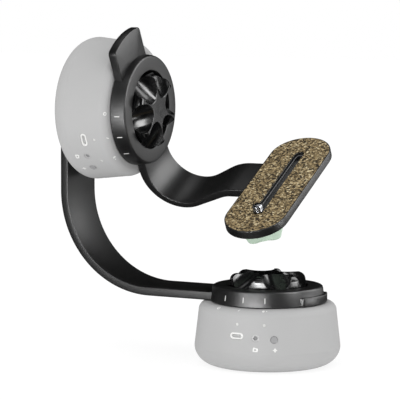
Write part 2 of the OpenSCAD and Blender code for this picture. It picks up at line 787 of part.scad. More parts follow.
shell();  // pan_shell
base_cover();  // pan_base_cover
socket();  // pan_socket
chassis();  // pan_chassis
bearing_outer();  // pan_bearing_outer
bearing_balls();  // pan_bearing_balls
bearing_inner();  // pan_bearing_inner
retaining_ring();  // pan_retaining_ring
turntable();  // pan_turntable
friction_ring();  // pan_friction_ring
rotate([0, 0, 90]) drive_gear();  // pan_drive_gear
pinion();  // pan_pinion
motor_shaft();  // pan_motor_shaft
motor();  // pan_motor
battery();  // pan_battery
circuit_board();  // pan_circuit_board
charging_port();  // pan_charging_port
camera_jack();  // pan_camera_jack
power_button();  // pan_power_button
status_lights();  // pan_status_lights
base_screws();  // pan_base_screws
chassis_screws();  // pan_chassis_screws
tilt_unit() shell();  // tilt_shell
tilt_unit() base_cover();  // tilt_base_cover
tilt_unit() socket();  // tilt_socket
tilt_unit() chassis();  // tilt_chassis
tilt_unit() bearing_outer();  // tilt_bearing_outer
tilt_unit() bearing_balls();  // tilt_bearing_balls
tilt_unit() bearing_inner();  // tilt_bearing_inner
tilt_unit() retaining_ring();  // tilt_retaining_ring
tilt_unit() turntable();  // tilt_turntable
tilt_unit() friction_ring();  // tilt_friction_ring
tilt_unit() rotate([0, 0, 90]) drive_gear();  // tilt_drive_gear
tilt_unit() pinion();  // tilt_pinion
tilt_unit() motor_shaft();  // tilt_motor_shaft
tilt_unit() motor();  // tilt_motor
tilt_unit() battery();  // tilt_battery
tilt_unit() circuit_board();  // tilt_circuit_board
tilt_unit() charging_port();  // tilt_charging_port
tilt_unit() camera_jack();  // tilt_camera_jack
tilt_unit() power_button();  // tilt_power_button
tilt_unit() status_lights();  // tilt_status_lights
tilt_unit() base_screws();  // tilt_base_screws
tilt_unit() chassis_screws();  // tilt_chassis_screws
pan_arm();
translate([0, 0, stage_z + pan_washer_t]) knob(pan_knob_turn);  // pan_knob
translate([0, 0, stage_z]) clamp_screw(pan_washer_t);  // pan_clamp_screw
translate([0, 0, stage_z]) knob_washer(pan_washer_t);  // pan_knob_washer
arm_pad();
tilt_mount_screw();
tilt_arm();
along_tilt() translate([0, 0, tilt_washer_t]) knob(tilt_knob_turn);  // tilt_knob
along_tilt() clamp_screw(tilt_washer_t);  // tilt_clamp_screw
along_tilt() knob_washer(tilt_washer_t);  // tilt_knob_washer
cork_pad();
screw_washer();
camera_screw();
camera_screw_knob();
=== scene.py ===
"""Motorised pan and tilt head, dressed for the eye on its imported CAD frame.

Sizes in the classes are millimetres in the frame of the CAD model. A piece becomes metres when its
mesh is made. The studio's sizes are metres from the start.
"""
import logging
import math
from dataclasses import dataclass, field
from enum import Enum

import bmesh
import bpy
import numpy as np
from mathutils import Matrix


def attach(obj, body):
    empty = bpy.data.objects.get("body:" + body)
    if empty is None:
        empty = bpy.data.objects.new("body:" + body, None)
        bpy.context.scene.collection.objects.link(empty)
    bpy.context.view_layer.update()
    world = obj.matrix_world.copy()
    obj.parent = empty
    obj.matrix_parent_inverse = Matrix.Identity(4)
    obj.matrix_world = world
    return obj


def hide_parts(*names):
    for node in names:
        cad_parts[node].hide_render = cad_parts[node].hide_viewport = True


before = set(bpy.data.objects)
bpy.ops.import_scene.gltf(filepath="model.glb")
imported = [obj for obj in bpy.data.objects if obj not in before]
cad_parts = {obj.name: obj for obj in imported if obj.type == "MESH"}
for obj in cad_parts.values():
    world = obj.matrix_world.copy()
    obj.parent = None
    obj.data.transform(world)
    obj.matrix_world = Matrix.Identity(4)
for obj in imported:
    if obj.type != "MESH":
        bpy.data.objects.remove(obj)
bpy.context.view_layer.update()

log = logging.getLogger("pan_tilt_head")

Tree = bpy.types.NodeTree
Node = bpy.types.Node
Socket = bpy.types.NodeSocket
Piece = bpy.types.Object
Pair = tuple[float, float]
Point = tuple[float, float, float]

MM = 0.001
CREASE = 32.0
MERGE_REACH = 3e-7
THIN_EDGE = 1e-7
CUT_EDGE = 0.01
INK = 0.03
WHITE = "#ffffff"
CLOTH = "#0c0c0c"


class Axis(Enum):
    """Axis of the frame that a turn goes round."""

    X = 0
    Y = 1
    Z = 2


class Stage(Enum):
    """Motor unit that a piece belongs to; the value is the prefix of its CAD nodes."""

    PAN = "pan"
    TILT = "tilt"


# Finishes


def linear(colour: str) -> tuple[float, float, float, float]:
    """Turns an sRGB hex colour into linear values with full alpha.

    Args:
        colour: Hex colour such as "#bdbdbd".

    Returns:
        Linear red, green, blue and alpha.
    """
    parts = np.array([int(colour[i:i + 2], 16) / 255.0 for i in (1, 3, 5)])
    values = np.where(parts <= 0.04045, parts / 12.92, ((parts + 0.055) / 1.055) ** 2.4)
    return (float(values[0]), float(values[1]), float(values[2]), 1.0)


def add_node(
    tree: Tree,
    kind: str,
    settings: dict[str | int, object] | None = None,
    links: dict[str | int, Socket] | None = None,
) -> Node:
    """Adds one node with its settings and links.

    Args:
        tree: Node tree that gets the node.
        kind: Blender's name for the node type.
        settings: Values by input name, input index or property name.
        links: Output sockets by the name or index of the input they feed.

    Returns:
        The new node.
    """
    node = tree.nodes.new(kind)
    for key, value in (settings or {}).items():
        if isinstance(key, int) or key in node.inputs:
            node.inputs[key].default_value = value
        else:
            setattr(node, key, value)
    for key, socket in (links or {}).items():
        tree.links.new(socket, node.inputs[key])
    return node


def bare_tree(owner: bpy.types.ID, output: str) -> tuple[Tree, Socket]:
    """Clears the node tree of a new material or world and gives it an output.

    Args:
        owner: Material or world.
        output: Blender's name for the type of the output node.

    Returns:
        The tree and the output's surface socket.
    """
    owner.use_nodes = True
    tree = owner.node_tree
    tree.nodes.clear()
    return tree, add_node(tree, output).inputs[0]


def per_mm(size: float) -> float:
    """Texture scale on metre coordinates for a pattern that repeats every size millimetres."""
    return 1.0 / (size * MM)


@dataclass(frozen=True)
class Shading:
    """One material's node tree, with its shader and the object coordinates in metres."""

    tree: Tree
    shader: Node
    place: Socket
    span: Pair = (0.3, 0.7)

    def feed(self, name: str, socket: Socket) -> None:
        """Links a socket to the shader's input of that name."""
        self.tree.links.new(socket, self.shader.inputs[name])

    def grain(self, size: float, detail: float, rough: Pair, depth: float = 0.0) -> None:
        """Fine grain: one noise pattern sets the roughness and, with a depth, the relief.

        The pattern's usual range, span, is stretched to the two values of roughness.

        Args:
            size: Size of the grain, in millimetres.
            detail: Octaves of finer noise.
            rough: Least and greatest roughness.
            depth: Relief, in millimetres; none when left out.
        """
        noise = add_node(self.tree, "ShaderNodeTexNoise", {"Scale": per_mm(size), "Detail": detail},
                         {"Vector": self.place})
        stretch = add_node(self.tree, "ShaderNodeMapRange", {
            "From Min": self.span[0], "From Max": self.span[1], "To Min": rough[0], "To Max": rough[1],
        }, {"Value": noise.outputs["Fac"]})
        self.feed("Roughness", stretch.outputs[0])
        if depth > 0.0:
            relief = add_node(self.tree, "ShaderNodeBump", {"Distance": depth * MM, "Strength": 1.0},
                              {"Height": noise.outputs["Fac"]})
            self.feed("Normal", relief.outputs[0])

    def clouds(self, size: float, detail: float, colour: str, change: float) -> None:
        """Broad faint clouds: a noise pattern mixes a darker and a lighter shade of the colour.

        Args:
            size: Size of the clouds, in millimetres.
            detail: Octaves of finer noise.
            colour: Hex colour halfway between the two shades.
            change: Share by which the shades are darker and lighter.
        """
        noise = add_node(self.tree, "ShaderNodeTexNoise", {"Scale": per_mm(size), "Detail": detail},
                         {"Vector": self.place})
        stretch = add_node(self.tree, "ShaderNodeMapRange", {
            "From Min": self.span[0], "From Max": self.span[1], "To Min": 0.0, "To Max": 1.0,
        }, {"Value": noise.outputs["Fac"]})
        shade = np.array(linear(colour)[:3])
        dark = shade * (1.0 - change)
        light = np.minimum(shade * (1.0 + change), 1.0)
        tint = add_node(self.tree, "ShaderNodeMix", {
            "data_type": "RGBA", 6: (*dark, 1.0), 7: (*light, 1.0),
        }, {0: stretch.outputs[0]})
        self.feed("Base Color", tint.outputs[2])


@dataclass(frozen=True)
class Finish:
    """Surface finish; each kind of real material builds its own nodes."""

    name: str
    colour: str
    roughness: float

    def material(self) -> bpy.types.Material:
        """Makes the material on first use and gives the same one after that.

        Returns:
            The Blender material of this finish.
        """
        ready = bpy.data.materials.get(self.name)
        if ready is not None:
            return ready
        made = bpy.data.materials.new(self.name)
        made.diffuse_color = linear(self.colour)
        tree, surface = bare_tree(made, "ShaderNodeOutputMaterial")
        shader = add_node(tree, "ShaderNodeBsdfPrincipled", {
            "Base Color": linear(self.colour), "Roughness": self.roughness,
        })
        tree.links.new(shader.outputs[0], surface)
        place = add_node(tree, "ShaderNodeTexCoord").outputs["Object"]
        self.build(Shading(tree, shader, place))
        return made

    def build(self, on: Shading) -> None:
        """Adds this finish's own nodes.

        Args:
            on: Nodes of the material.
        """
        raise NotImplementedError


@dataclass(frozen=True)
class MouldedPlastic(Finish):
    """Injection-moulded ABS or nylon from a spark-eroded tool: an even, dull skin with a fine pebble."""

    grain: float = 0.7
    depth: float = 0.006
    cloud: float = 0.03
    cloud_size: float = 22.0
    swing: float = 0.05
    ior: float = 1.53

    def build(self, on: Shading) -> None:
        """Pebble as bump and roughness, and broad faint clouds in the colour.

        Args:
            on: Nodes of the material.
        """
        on.shader.inputs["IOR"].default_value = self.ior
        # The tool's pebble is about 0.05 mm; it is drawn coarser, at the size of grain, so that it shows.
        on.grain(self.grain, 3.0, (self.roughness - self.swing, self.roughness + self.swing), self.depth)
        on.clouds(self.cloud_size, 2.0, self.colour, self.cloud)


@dataclass(frozen=True)
class GlossPlastic(Finish):
    """Black moulded plastic from a polished tool: deep black with crisp mirror images, lightly handled."""

    ior: float = 1.52
    handled: float = 6.0
    ripple: float = 9.0
    depth: float = 0.02

    def build(self, on: Shading) -> None:
        """Roughness that wanders between polished and lightly handled areas, and flow marks.

        Args:
            on: Nodes of the material.
        """
        on.shader.inputs["IOR"].default_value = self.ior
        on.grain(self.handled, 5.0, (self.roughness * 0.6, self.roughness * 1.5))
        # Flow marks of the moulding: a slow ripple a few millimetres long that bends the mirror images.
        ripple = add_node(on.tree, "ShaderNodeTexNoise", {"Scale": per_mm(self.ripple), "Detail": 1.0},
                          {"Vector": on.place})
        relief = add_node(on.tree, "ShaderNodeBump", {"Distance": self.depth * MM, "Strength": 1.0},
                          {"Height": ripple.outputs["Fac"]})
        on.feed("Normal", relief.outputs[0])


@dataclass(frozen=True)
class AnodisedAluminium(Finish):
    """Bead-blasted, black anodised aluminium: a dyed film with a broad satin sheen over near-black."""

    ior: float = 1.65
    grit: float = 0.45
    depth: float = 0.005
    swing: float = 0.05
    dye: float = 0.1
    dye_size: float = 14.0

    def build(self, on: Shading) -> None:
        """Blasted grain as bump and roughness, with small changes of tone in the dye.

        Args:
            on: Nodes of the material.
        """
        on.shader.inputs["IOR"].default_value = self.ior
        # The blasted pits are about 0.1 mm; they are drawn at the size of grit to show as a fine sparkle.
        on.grain(self.grit, 2.0, (self.roughness - self.swing, self.roughness + self.swing), self.depth)
        on.clouds(self.dye_size, 3.0, self.colour, self.dye)


@dataclass(frozen=True)
class MachinedMetal(Finish):
    """Turned, drawn or plated bare metal: bright, with a fine tool grain and a wandering polish."""

    line: float = 0.3
    depth: float = 0.002

    def build(self, on: Shading) -> None:
        """Tool grain as noise in bump and roughness.

        Args:
            on: Nodes of the material.
        """
        on.shader.inputs["Metallic"].default_value = 1.0
        # Tool feed is about 0.08 mm a turn; it is drawn at the size of line so that it shows.
        on.grain(self.line, 2.0, (self.roughness * 0.7, self.roughness * 1.4), self.depth)


@dataclass(frozen=True)
class GranulatedCork(Finish):
    """Pressed cork sheet: crumbs a millimetre across from straw to dark bark, with dark binder between."""

    ior: float = 1.45
    specular: float = 0.25
    crumb: float = 1.05
    tones: tuple[str, ...] = ("#2c2519", "#54462e", "#816e4b", "#a69067", "#c9b489", "#e4d3aa")
    steps: tuple[float, ...] = (0.0, 0.1, 0.32, 0.56, 0.8, 0.94)
    bend: float = 1.4
    shift: float = 0.6
    gap: float = 0.16
    binder: float = 0.45
    depth: float = 0.25

    def build(self, on: Shading) -> None:
        """Cells with a tone each, bent by noise, with sunk and darker edges between them.

        Args:
            on: Nodes of the material.
        """
        tree = on.tree
        on.shader.inputs["IOR"].default_value = self.ior
        on.shader.inputs["Specular IOR Level"].default_value = self.specular
        bend = add_node(tree, "ShaderNodeTexNoise", {"Scale": per_mm(self.bend), "Detail": 2.0},
                        {"Vector": on.place})
        shift = add_node(tree, "ShaderNodeVectorMath", {"operation": "SCALE", "Scale": self.shift * MM},
                         {0: bend.outputs["Color"]})
        spot = add_node(tree, "ShaderNodeVectorMath", {"operation": "ADD"},
                        {0: on.place, 1: shift.outputs[0]})
        cells =add_node(tree, "ShaderNodeTexVoronoi", {"Scale": per_mm(self.crumb)},
                         {"Vector": spot.outputs[0]})
        edges = add_node(tree, "ShaderNodeTexVoronoi", {
            "feature": "DISTANCE_TO_EDGE", "Scale": per_mm(self.crumb),
        }, {"Vector": spot.outputs[0]})
        pick = add_node(tree, "ShaderNodeSeparateColor", links={0: cells.outputs["Color"]})
        ramp = add_node(tree, "ShaderNodeValToRGB", links={0: pick.outputs[0]})
        ramp.color_ramp.interpolation = "CONSTANT"
        stops = ramp.color_ramp.elements
        while len(stops) < len(self.tones):
            stops.new(0.5)
        for stop, tone, step in zip(stops, self.tones, self.steps):
            stop.position = step
            stop.color = linear(tone)
        gap = add_node(tree, "ShaderNodeMapRange", {
            "From Min": 0.0, "From Max": self.gap, "To Min": self.binder, "To Max": 1.0,
        }, {"Value": edges.outputs["Distance"]})
        tint = add_node(tree, "ShaderNodeVectorMath", {"operation": "SCALE"},
                        {0: ramp.outputs[0], "Scale": gap.outputs[0]})
        on.feed("Base Color", tint.outputs[0])
        relief = add_node(tree, "ShaderNodeBump", {"Distance": self.depth * MM, "Strength": 1.0},
                          {"Height": edges.outputs["Distance"]})
        on.feed("Normal", relief.outputs[0])


@dataclass(frozen=True)
class PadPrint(Finish):
    """Pad-printed white ink: dense and slightly satin, a trace mottled where it lies on the grain."""

    size: float = 0.5
    swing: float = 0.08

    def build(self, on: Shading) -> None:
        """Ink film's roughness follows the grain below."""
        on.grain(self.size, 2.0, (self.roughness - self.swing, self.roughness + self.swing))


CASING = MouldedPlastic("moulded_abs_pale_grey", "#bebebe", 0.66, depth=0.004, cloud=0.012, ior=1.3)
BUTTON = MouldedPlastic("moulded_abs_button_grey", "#a6a6a7", 0.6, depth=0.003, cloud=0.012, ior=1.3)
JACK = MouldedPlastic("moulded_nylon_jack", "#bebebe", 0.5, depth=0.003)
NYLON = MouldedPlastic("moulded_nylon_natural", "#d8d2c0", 0.5, depth=0.004)
WASHER = MouldedPlastic("moulded_acetal_white", "#d9d9d7", 0.45, depth=0.003)
MINT = MouldedPlastic("moulded_abs_mint_green", "#e0f8e2", 0.5, depth=0.004, cloud=0.02)
# Painted shade: a black sheet that darkens the slot's upper wall as its shadow.
SLOT_SHADE = MouldedPlastic("black_slot_painted_shade", "#0d0d0d", 0.7, depth=0.003, ior=1.3)
RAIL = MouldedPlastic("moulded_dark_nylon_rail", "#161617", 0.5, depth=0.003, ior=1.45)
# Painted highlight: a pale strip on the slot rail's top edge.
EDGE_HIGHLIGHT = MouldedPlastic("slot_edge_painted_highlight", "#8c8c8e", 0.5, depth=0.003, ior=1.4)
RUBBER = MouldedPlastic("moulded_rubber_black", "#1d1d1d", 0.8, depth=0.01, ior=1.5)
WRAP = MouldedPlastic("shrink_wrap_blue", "#4d6f9e", 0.35, grain=2.0, depth=0.01)
BOARD = MouldedPlastic("solder_mask_green", "#1f5a37", 0.35, grain=0.5, depth=0.01, cloud=0.1)
LIGHT = MouldedPlastic("moulded_acrylic_light_pipe", "#dededc", 0.5, depth=0.001, ior=1.4)
ALLOY = AnodisedAluminium("bead_blasted_black_anodised_aluminium", "#0e0e0f", 0.38)
GLOSS = GlossPlastic("polished_black_moulded_abs", "#0b0b0c", 0.2)
CORK = GranulatedCork("pressed_cork_sheet", "#8f7449", 0.85)
PRINT = PadPrint("pad_printed_white_ink", "#f4f4f2", 0.5)
BRIGHT = MachinedMetal("turned_bright_steel", "#b0b2b6", 0.22, depth=0.0005)
PLATED = MachinedMetal("zinc_plated_steel", "#a3a6aa", 0.3)
BEARING = MachinedMetal("ground_bearing_steel", "#d0d2d5", 0.12)
SPRING = MachinedMetal("blackened_spring_steel", "#55585c", 0.35)
BRASS = MachinedMetal("turned_brass", "#b58f52", 0.25)
CAST = MachinedMetal("die_cast_aluminium", "#8d9093", 0.5, line=0.8, depth=0.01)
CAN = MachinedMetal("drawn_steel_can", "#b4b7bb", 0.28)
STAMPED = MachinedMetal("stamped_stainless_steel", "#cfd1d3", 0.25)


# Placing and joining surfaces


@dataclass(frozen=True)
class Placement:
    """Turn and shift that carry a piece's own millimetres into the frame."""

    turn: np.ndarray
    shift: np.ndarray

    @classmethod
    def at(cls, x: float, y: float, z: float) -> "Placement":
        """Shift without a turn."""
        return cls(np.eye(3), np.array([x, y, z]))

    def turned(self, axis: Axis, degrees: float) -> "Placement":
        """Same place, with the piece first turned round one of its own axes.

        Args:
            axis: Axis of the turn.
            degrees: Angle by the right-hand rule.

        Returns:
            The new placement.
        """
        c, s = math.cos(math.radians(degrees)), math.sin(math.radians(degrees))
        plane = [(axis.value + 1) % 3, (axis.value + 2) % 3]
        turn = np.eye(3)
        turn[np.ix_(plane, plane)] = [[c, -s], [s, c]]
        return Placement(self.turn @ turn, self.shift)

    def moved(self, x: float, y: float, z: float) -> "Placement":
        """Same turn, with the piece first shifted along its own axes."""
        return Placement(self.turn, self.shift + self.turn @ np.array([x, y, z]))

    def carry(self, points: np.ndarray) -> np.ndarray:
        """Carries an array of points, three numbers each, into the frame."""
        return points @ self.turn.T + self.shift


@dataclass
class Surface:
    """Points in millimetres with the faces that join them."""

    points: np.ndarray
    quads: np.ndarray
    caps: list[np.ndarray] = field(default_factory=list)

    @classmethod
    def grid(
        cls, points: np.ndarray,
        close_rows: bool = False, close_columns: bool = False, cap_ends: bool = False,
    ) -> "Surface":
        """Joins a grid of points to its neighbours.

        Args:
            points: Array of rows by columns by 3.
            close_rows: Joins the last row to the first.
            close_columns: Joins the last column to the first.
            cap_ends: Closes the first and the last row with one face each.

        Returns:
            The joined surface.
        """
        rows, columns = points.shape[:2]
        index = np.arange(rows * columns).reshape(rows, columns)
        caps = [index[0].copy(), index[-1][::-1].copy()] if cap_ends else []
        if close_rows:
            index = np.vstack([index, index[:1]])
        if close_columns:
            index = np.hstack([index, index[:, :1]])
        quads = np.stack([index[:-1, :-1], index[1:, :-1], index[1:, 1:], index[:-1, 1:]], axis=-1)
        return cls(points.reshape(-1, 3), quads.reshape(-1, 4), caps)

    @classmethod
    def joined(cls, parts: "list[Surface]") -> "Surface":
        """Puts several surfaces into one, each keeping its own faces."""
        starts = np.cumsum([0] + [len(part.points) for part in parts[:-1]])
        return cls(
            np.concatenate([part.points for part in parts]),
            np.concatenate([part.quads + start for part, start in zip(parts, starts)]),
            [cap + start for part, start in zip(parts, starts) for cap in part.caps],
        )

    def mesh_object(self, name: str, place: Placement, crease: float = CREASE) -> Piece:
        """Makes the Blender object: doubles merged, faces outwards, smooth except at creases.

        Args:
            name: Object name.
            place: Placement in the frame.
            crease: Angle in degrees past which an edge stays sharp.

        Returns:
            The object, at the origin with its place in its mesh.
        """
        mesh = bpy.data.meshes.new(name)
        faces = self.quads.tolist() + [cap.tolist() for cap in self.caps]
        mesh.from_pydata((place.carry(self.points) * MM).tolist(), [], faces)
        work = bmesh.new()
        work.from_mesh(mesh)
        bmesh.ops.remove_doubles(work, verts=work.verts[:], dist=MERGE_REACH)
        bmesh.ops.dissolve_degenerate(work, dist=THIN_EDGE, edges=work.edges[:])
        bmesh.ops.recalc_face_normals(work, faces=work.faces[:])
        work.to_mesh(mesh)
        work.free()
        made = bpy.data.objects.new(name, mesh)
        bpy.context.scene.collection.objects.link(made)
        smooth(mesh, crease)
        return made

    def print_object(self, name: str, place: Placement) -> Piece:
        """Makes the Blender object of open printed marks, with the ink's film as its thickness.

        Args:
            name: Object name.
            place: Placement in the frame.

        Returns:
            The object, at the origin with its place in its mesh.
        """
        made = self.mesh_object(name, place)
        film = made.modifiers.new("ink", "SOLIDIFY")
        film.thickness = 2.0 * INK * MM
        film.offset = -1.0
        return made


def smooth(mesh: bpy.types.Mesh, crease: float) -> None:
    """Shades a mesh smooth except at edges sharper than crease, in degrees."""
    mesh.polygons.foreach_set("use_smooth", np.ones(len(mesh.polygons), dtype=bool))
    mesh.set_sharp_from_angle(angle=math.radians(crease))


@dataclass(frozen=True)
class Mount:
    """What a piece hangs on and shows: body, the record's material slot, which is not used, finish, and
    nodes it stands for.
    """

    body: str
    slot: str
    finish: Finish
    replaces: tuple[str, ...] = ()

    def hang(self, piece: Piece) -> None:
        """Dresses a piece and hangs it on its body.

        Args:
            piece: New object.
        """
        piece.data.materials.clear()
        piece.data.materials.append(self.finish.material())
        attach(piece, self.body)
        if self.replaces:
            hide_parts(*self.replaces)
        log.info("%s: %d faces on %s", piece.name, len(piece.data.polygons), self.body)


def dress(finishes: dict[str, Finish]) -> None:
    """Gives CAD nodes their finishes.

    Args:
        finishes: Finish by node name.
    """
    for name, finish in finishes.items():
        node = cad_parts[name]
        node.data.materials.clear()
        node.data.materials.append(finish.material())
        log.info("%s: CAD node in %s", name, finish.name)


def pierced(piece: Piece, cutters: list[Piece]) -> Piece:
    """Cuts solid cutters out of a closed piece and removes the cutters.

    Args:
        piece: Closed object that is cut.
        cutters: Closed objects that are taken out of it.

    Returns:
        The same object with its cut mesh.
    """
    for cutter in cutters:
        cut = piece.modifiers.new(cutter.name, "BOOLEAN")
        cut.operation = "DIFFERENCE"
        cut.solver = "EXACT"
        cut.object = cutter
    view = bpy.context.evaluated_depsgraph_get()
    mesh = bpy.data.meshes.new_from_object(piece.evaluated_get(view))
    piece.modifiers.clear()
    piece.data = mesh
    for cutter in cutters:
        bpy.data.objects.remove(cutter, do_unlink=True)
    smooth(mesh, CREASE)
    return piece


# Outlines and the surfaces carried along them


def arc(cx: float, cy: float, r: float, start: float, stop: float, steps: int) -> np.ndarray:
    """Points of a circle round (cx, cy), from start to stop in degrees.

    Args:
        cx: Centre across.
        cy: Centre up.
        r: Radius.
        start: First angle.
        stop: Last angle.
        steps: Number of stretches.

    Returns:
        Array of steps + 1 points.
    """
    a = np.radians(np.linspace(start, stop, steps + 1))
    return np.stack([cx + r * np.cos(a), cy + r * np.sin(a)], axis=-1)


def circle(r: float, steps: int) -> np.ndarray:
    """Closed anticlockwise outline of a circle round the origin, in so many stretches."""
    return arc(0.0, 0.0, r, 0.0, 360.0, steps)[:-1]


def polar(r: np.ndarray, a: np.ndarray, z: np.ndarray) -> np.ndarray:
    """Points at radius r, angle a in radians and height z, spread to one shape."""
    return np.stack(np.broadcast_arrays(r * np.cos(a), r * np.sin(a), z), axis=-1)


def full_turn(steps: int) -> np.ndarray:
    """Angles of a full turn in radians, as one row."""
    return np.linspace(0.0, 2.0 * math.pi, steps, endpoint=False)[None]


def rounded(corners: list[Point], steps: int = 6, closed: bool = True) -> np.ndarray:
    """Outline through corners, each rounded by an arc tangent to both its sides.

    A corner's arc starts and ends at its radius over the tangent of half the corner's angle from the
    corner, and its points turn evenly round the arc's centre from one tangent point to the other.

    Args:
        corners: Across, up and rounding radius of each corner.
        steps: Stretches in each arc.
        closed: Whether the last corner joins the first.

    Returns:
        Array of points.
    """
    given = np.array(corners, dtype=float)
    spots, radii = given[:, :2], given[:, 2]
    share = np.linspace(0.0, 1.0, steps + 1)[:, None]
    parts = []
    for i, (spot, radius) in enumerate(zip(spots, radii)):
        ends = not closed and i in (0, len(spots) - 1)
        if ends or radius <= 0.0:
            parts.append(spot[None])
            continue
        back, ahead = spots[i - 1] - spot, spots[(i + 1) % len(spots)] - spot
        back, ahead = back / np.linalg.norm(back), ahead / np.linalg.norm(ahead)
        half = 0.5 * math.acos(float(np.clip(back @ ahead, -1.0, 1.0)))
        middle = (back + ahead) / np.linalg.norm(back + ahead)
        centre = spot + middle * radius / math.sin(half)
        first = spot + back * radius / math.tan(half) - centre
        last = spot + ahead * radius / math.tan(half) - centre
        turn = math.pi - 2.0 * half
        swing = first * np.sin((1.0 - share) * turn) + last * np.sin(share * turn)
        parts.append(centre + swing / math.sin(turn))
    return np.concatenate(parts)


def stadium(length: float, width: float, steps: int = 24, straight: int = 12) -> np.ndarray:
    """Closed outline of a slot along y: two half circles joined by straight sides, anticlockwise.

    Args:
        length: Overall length along y.
        width: Width along x.
        steps: Stretches in each half circle.
        straight: Stretches in each straight side.

    Returns:
        Array of points.
    """
    r, reach = width / 2.0, (length - width) / 2.0
    side = np.linspace(-reach, reach, straight + 1)[1:-1]
    right = np.stack([np.full_like(side, r), side], axis=-1)
    left = right[::-1] * [-1.0, 1.0]
    return np.concatenate([
        right, arc(0.0, reach, r, 0.0, 180.0, steps), left, arc(0.0, -reach, r, 180.0, 360.0, steps),
    ])


def outward(loop: np.ndarray) -> np.ndarray:
    """Unit normals of a closed outline, square to the chord between each point's neighbours.

    Args:
        loop: Closed anticlockwise outline.

    Returns:
        One normal for each point.
    """
    chord = np.roll(loop, -1, axis=0) - np.roll(loop, 1, axis=0)
    normal = np.stack([chord[:, 1], -chord[:, 0]], axis=-1)
    return normal / np.linalg.norm(normal, axis=1, keepdims=True)


def wall_profile(start: float, end: float, edge: float, steps: int = 4) -> tuple[np.ndarray, np.ndarray]:
    """Profile of a wall with rounded edges: a quarter circle, a straight and a quarter circle.

    Args:
        start: Height where the wall starts.
        end: Height where it ends, above or below the start.
        edge: Radius of both edges.
        steps: Stretches in each quarter circle.

    Returns:
        How far each point stands back from the wall's face, and its height.
    """
    a = np.linspace(0.0, math.pi / 2.0, steps + 1)
    lift = math.copysign(edge, end - start)
    back = np.concatenate([edge * (1.0 - np.sin(a)), edge * (1.0 - np.cos(a))])
    return back, np.concatenate([start + lift * (1.0 - np.cos(a)), end - lift * (1.0 - np.sin(a))])


def carried(loop: np.ndarray, back: np.ndarray, height: np.ndarray) -> np.ndarray:
    """Profile carried along an outline: each of its points moves the outline inwards and up.

    Args:
        loop: Closed anticlockwise outline.
        back: Distance inwards, along the outline's normals, for each profile point.
        height: Height of each profile point.

    Returns:
        Array of profile points by outline points by 3.
    """
    flat = loop[None] - outward(loop)[None] * back[:, None, None]
    z = np.broadcast_to(height[:, None, None], (*flat.shape[:2], 1))
    return np.concatenate([flat, z], axis=-1)


def plate(loop: np.ndarray, low: float, high: float, edge: float, steps: int = 4) -> Surface:
    """Flat plate with rounded edges: its wall's profile carried along the outline, with both ends closed.

    Args:
        loop: Closed anticlockwise outline.
        low: Height of the underside.
        high: Height of the top.
        edge: Radius of both edges.
        steps: Stretches in each quarter circle.

    Returns:
        The closed surface.
    """
    points = carried(loop, *wall_profile(low, high, edge, steps))
    return Surface.grid(points, close_columns=True, cap_ends=True)


def ring_plate(
    outer: np.ndarray, inner: np.ndarray, low: float, high: float, edge: float, lip: float,
    tray: Pair | None = None,
) -> Surface:
    """Flat plate with a hole, both with rounded edges.

    The profile is the plate's whole section between the outer outline and the hole: wall, top, hole and
    underside. With a tray, the top inside a rim is sunk. The profile is carried along both outlines,
    which have as many points as each other.

    Args:
        outer: Closed anticlockwise outline of the plate.
        inner: Closed anticlockwise outline of the hole.
        low: Height of the underside.
        high: Height of the top.
        edge: Radius of the outer edges.
        lip: Radius of the hole's edges.
        tray: Width of the rim and depth of the sunk top; the top is flat when left out.

    Returns:
        The closed surface.
    """
    wall_in, wall_z = wall_profile(low, high, edge)
    if tray is not None:
        rim, sunk = tray
        wall_in = np.concatenate([wall_in, [rim, rim]])
        wall_z = np.concatenate([wall_z, [high, high - sunk]])
        high = high - sunk
    hole_out, hole_z = wall_profile(high, low, lip)
    points = np.concatenate([carried(outer, wall_in, wall_z), carried(inner, -hole_out, hole_z)])
    return Surface.grid(points, close_rows=True, close_columns=True)


def revolved(profile: np.ndarray, steps: int, closed: bool = True) -> Surface:
    """Profile of radius and height turned round the z axis.

    Args:
        profile: Points of radius and height.
        steps: Stretches round the axis.
        closed: Whether the profile is a loop; otherwise its ends lie on the axis.

    Returns:
        The closed surface.
    """
    points = polar(profile[:, :1], full_turn(steps), profile[:, 1:])
    return Surface.grid(points, close_rows=closed, close_columns=True)


def ribbon(
    inner: np.ndarray, outer: np.ndarray, half_width: np.ndarray, edge: float, steps: int = 4,
) -> Surface:
    """Bar between two curves in the xz plane, with a rounded oblong section across y.

    At each station the oblong's middle is halfway between the two curves and its thickness is their
    distance. The section's corner points stand in from the oblong's corners by the edge radius and turn
    a quarter circle each.

    Args:
        inner: Points of the bar's one face, across and up.
        outer: Matching points of its other face.
        half_width: Half the bar's width at each station.
        edge: Radius of the four long edges.
        steps: Stretches in each corner.

    Returns:
        The closed surface.
    """
    middle, across = (inner + outer) / 2.0, (inner - outer) / 2.0
    half = np.linalg.norm(across, axis=1)
    across = across / half[:, None]
    a = np.linspace(0.0, math.pi / 2.0, steps + 1)[None] + np.arange(4)[:, None] * math.pi / 2.0
    sign_y = np.array([1.0, -1.0, -1.0, 1.0])[:, None] + 0.0 * a
    sign_t = np.array([1.0, 1.0, -1.0, -1.0])[:, None] + 0.0 * a
    y = sign_y.ravel() * (half_width[:, None] - edge) + edge * np.cos(a).ravel()
    t = sign_t.ravel() * (half[:, None] - edge) + edge * np.sin(a).ravel()
    points = np.stack([middle[:, :1] + across[:, :1] * t, y, middle[:, 1:] + across[:, 1:] * t], axis=-1)
    return Surface.grid(points, close_columns=True, cap_ends=True)


def soft_min(a: np.ndarray, b: np.ndarray, blend: float) -> np.ndarray:
    """Smaller of two heights, with the crease between them rounded over about the blend length."""
    mix = np.clip(0.5 + 0.5 * (b - a) / blend, 0.0, 1.0)
    return b * (1.0 - mix) + a * mix - blend * mix * (1.0 - mix)


STUB_ROOT = 27.0


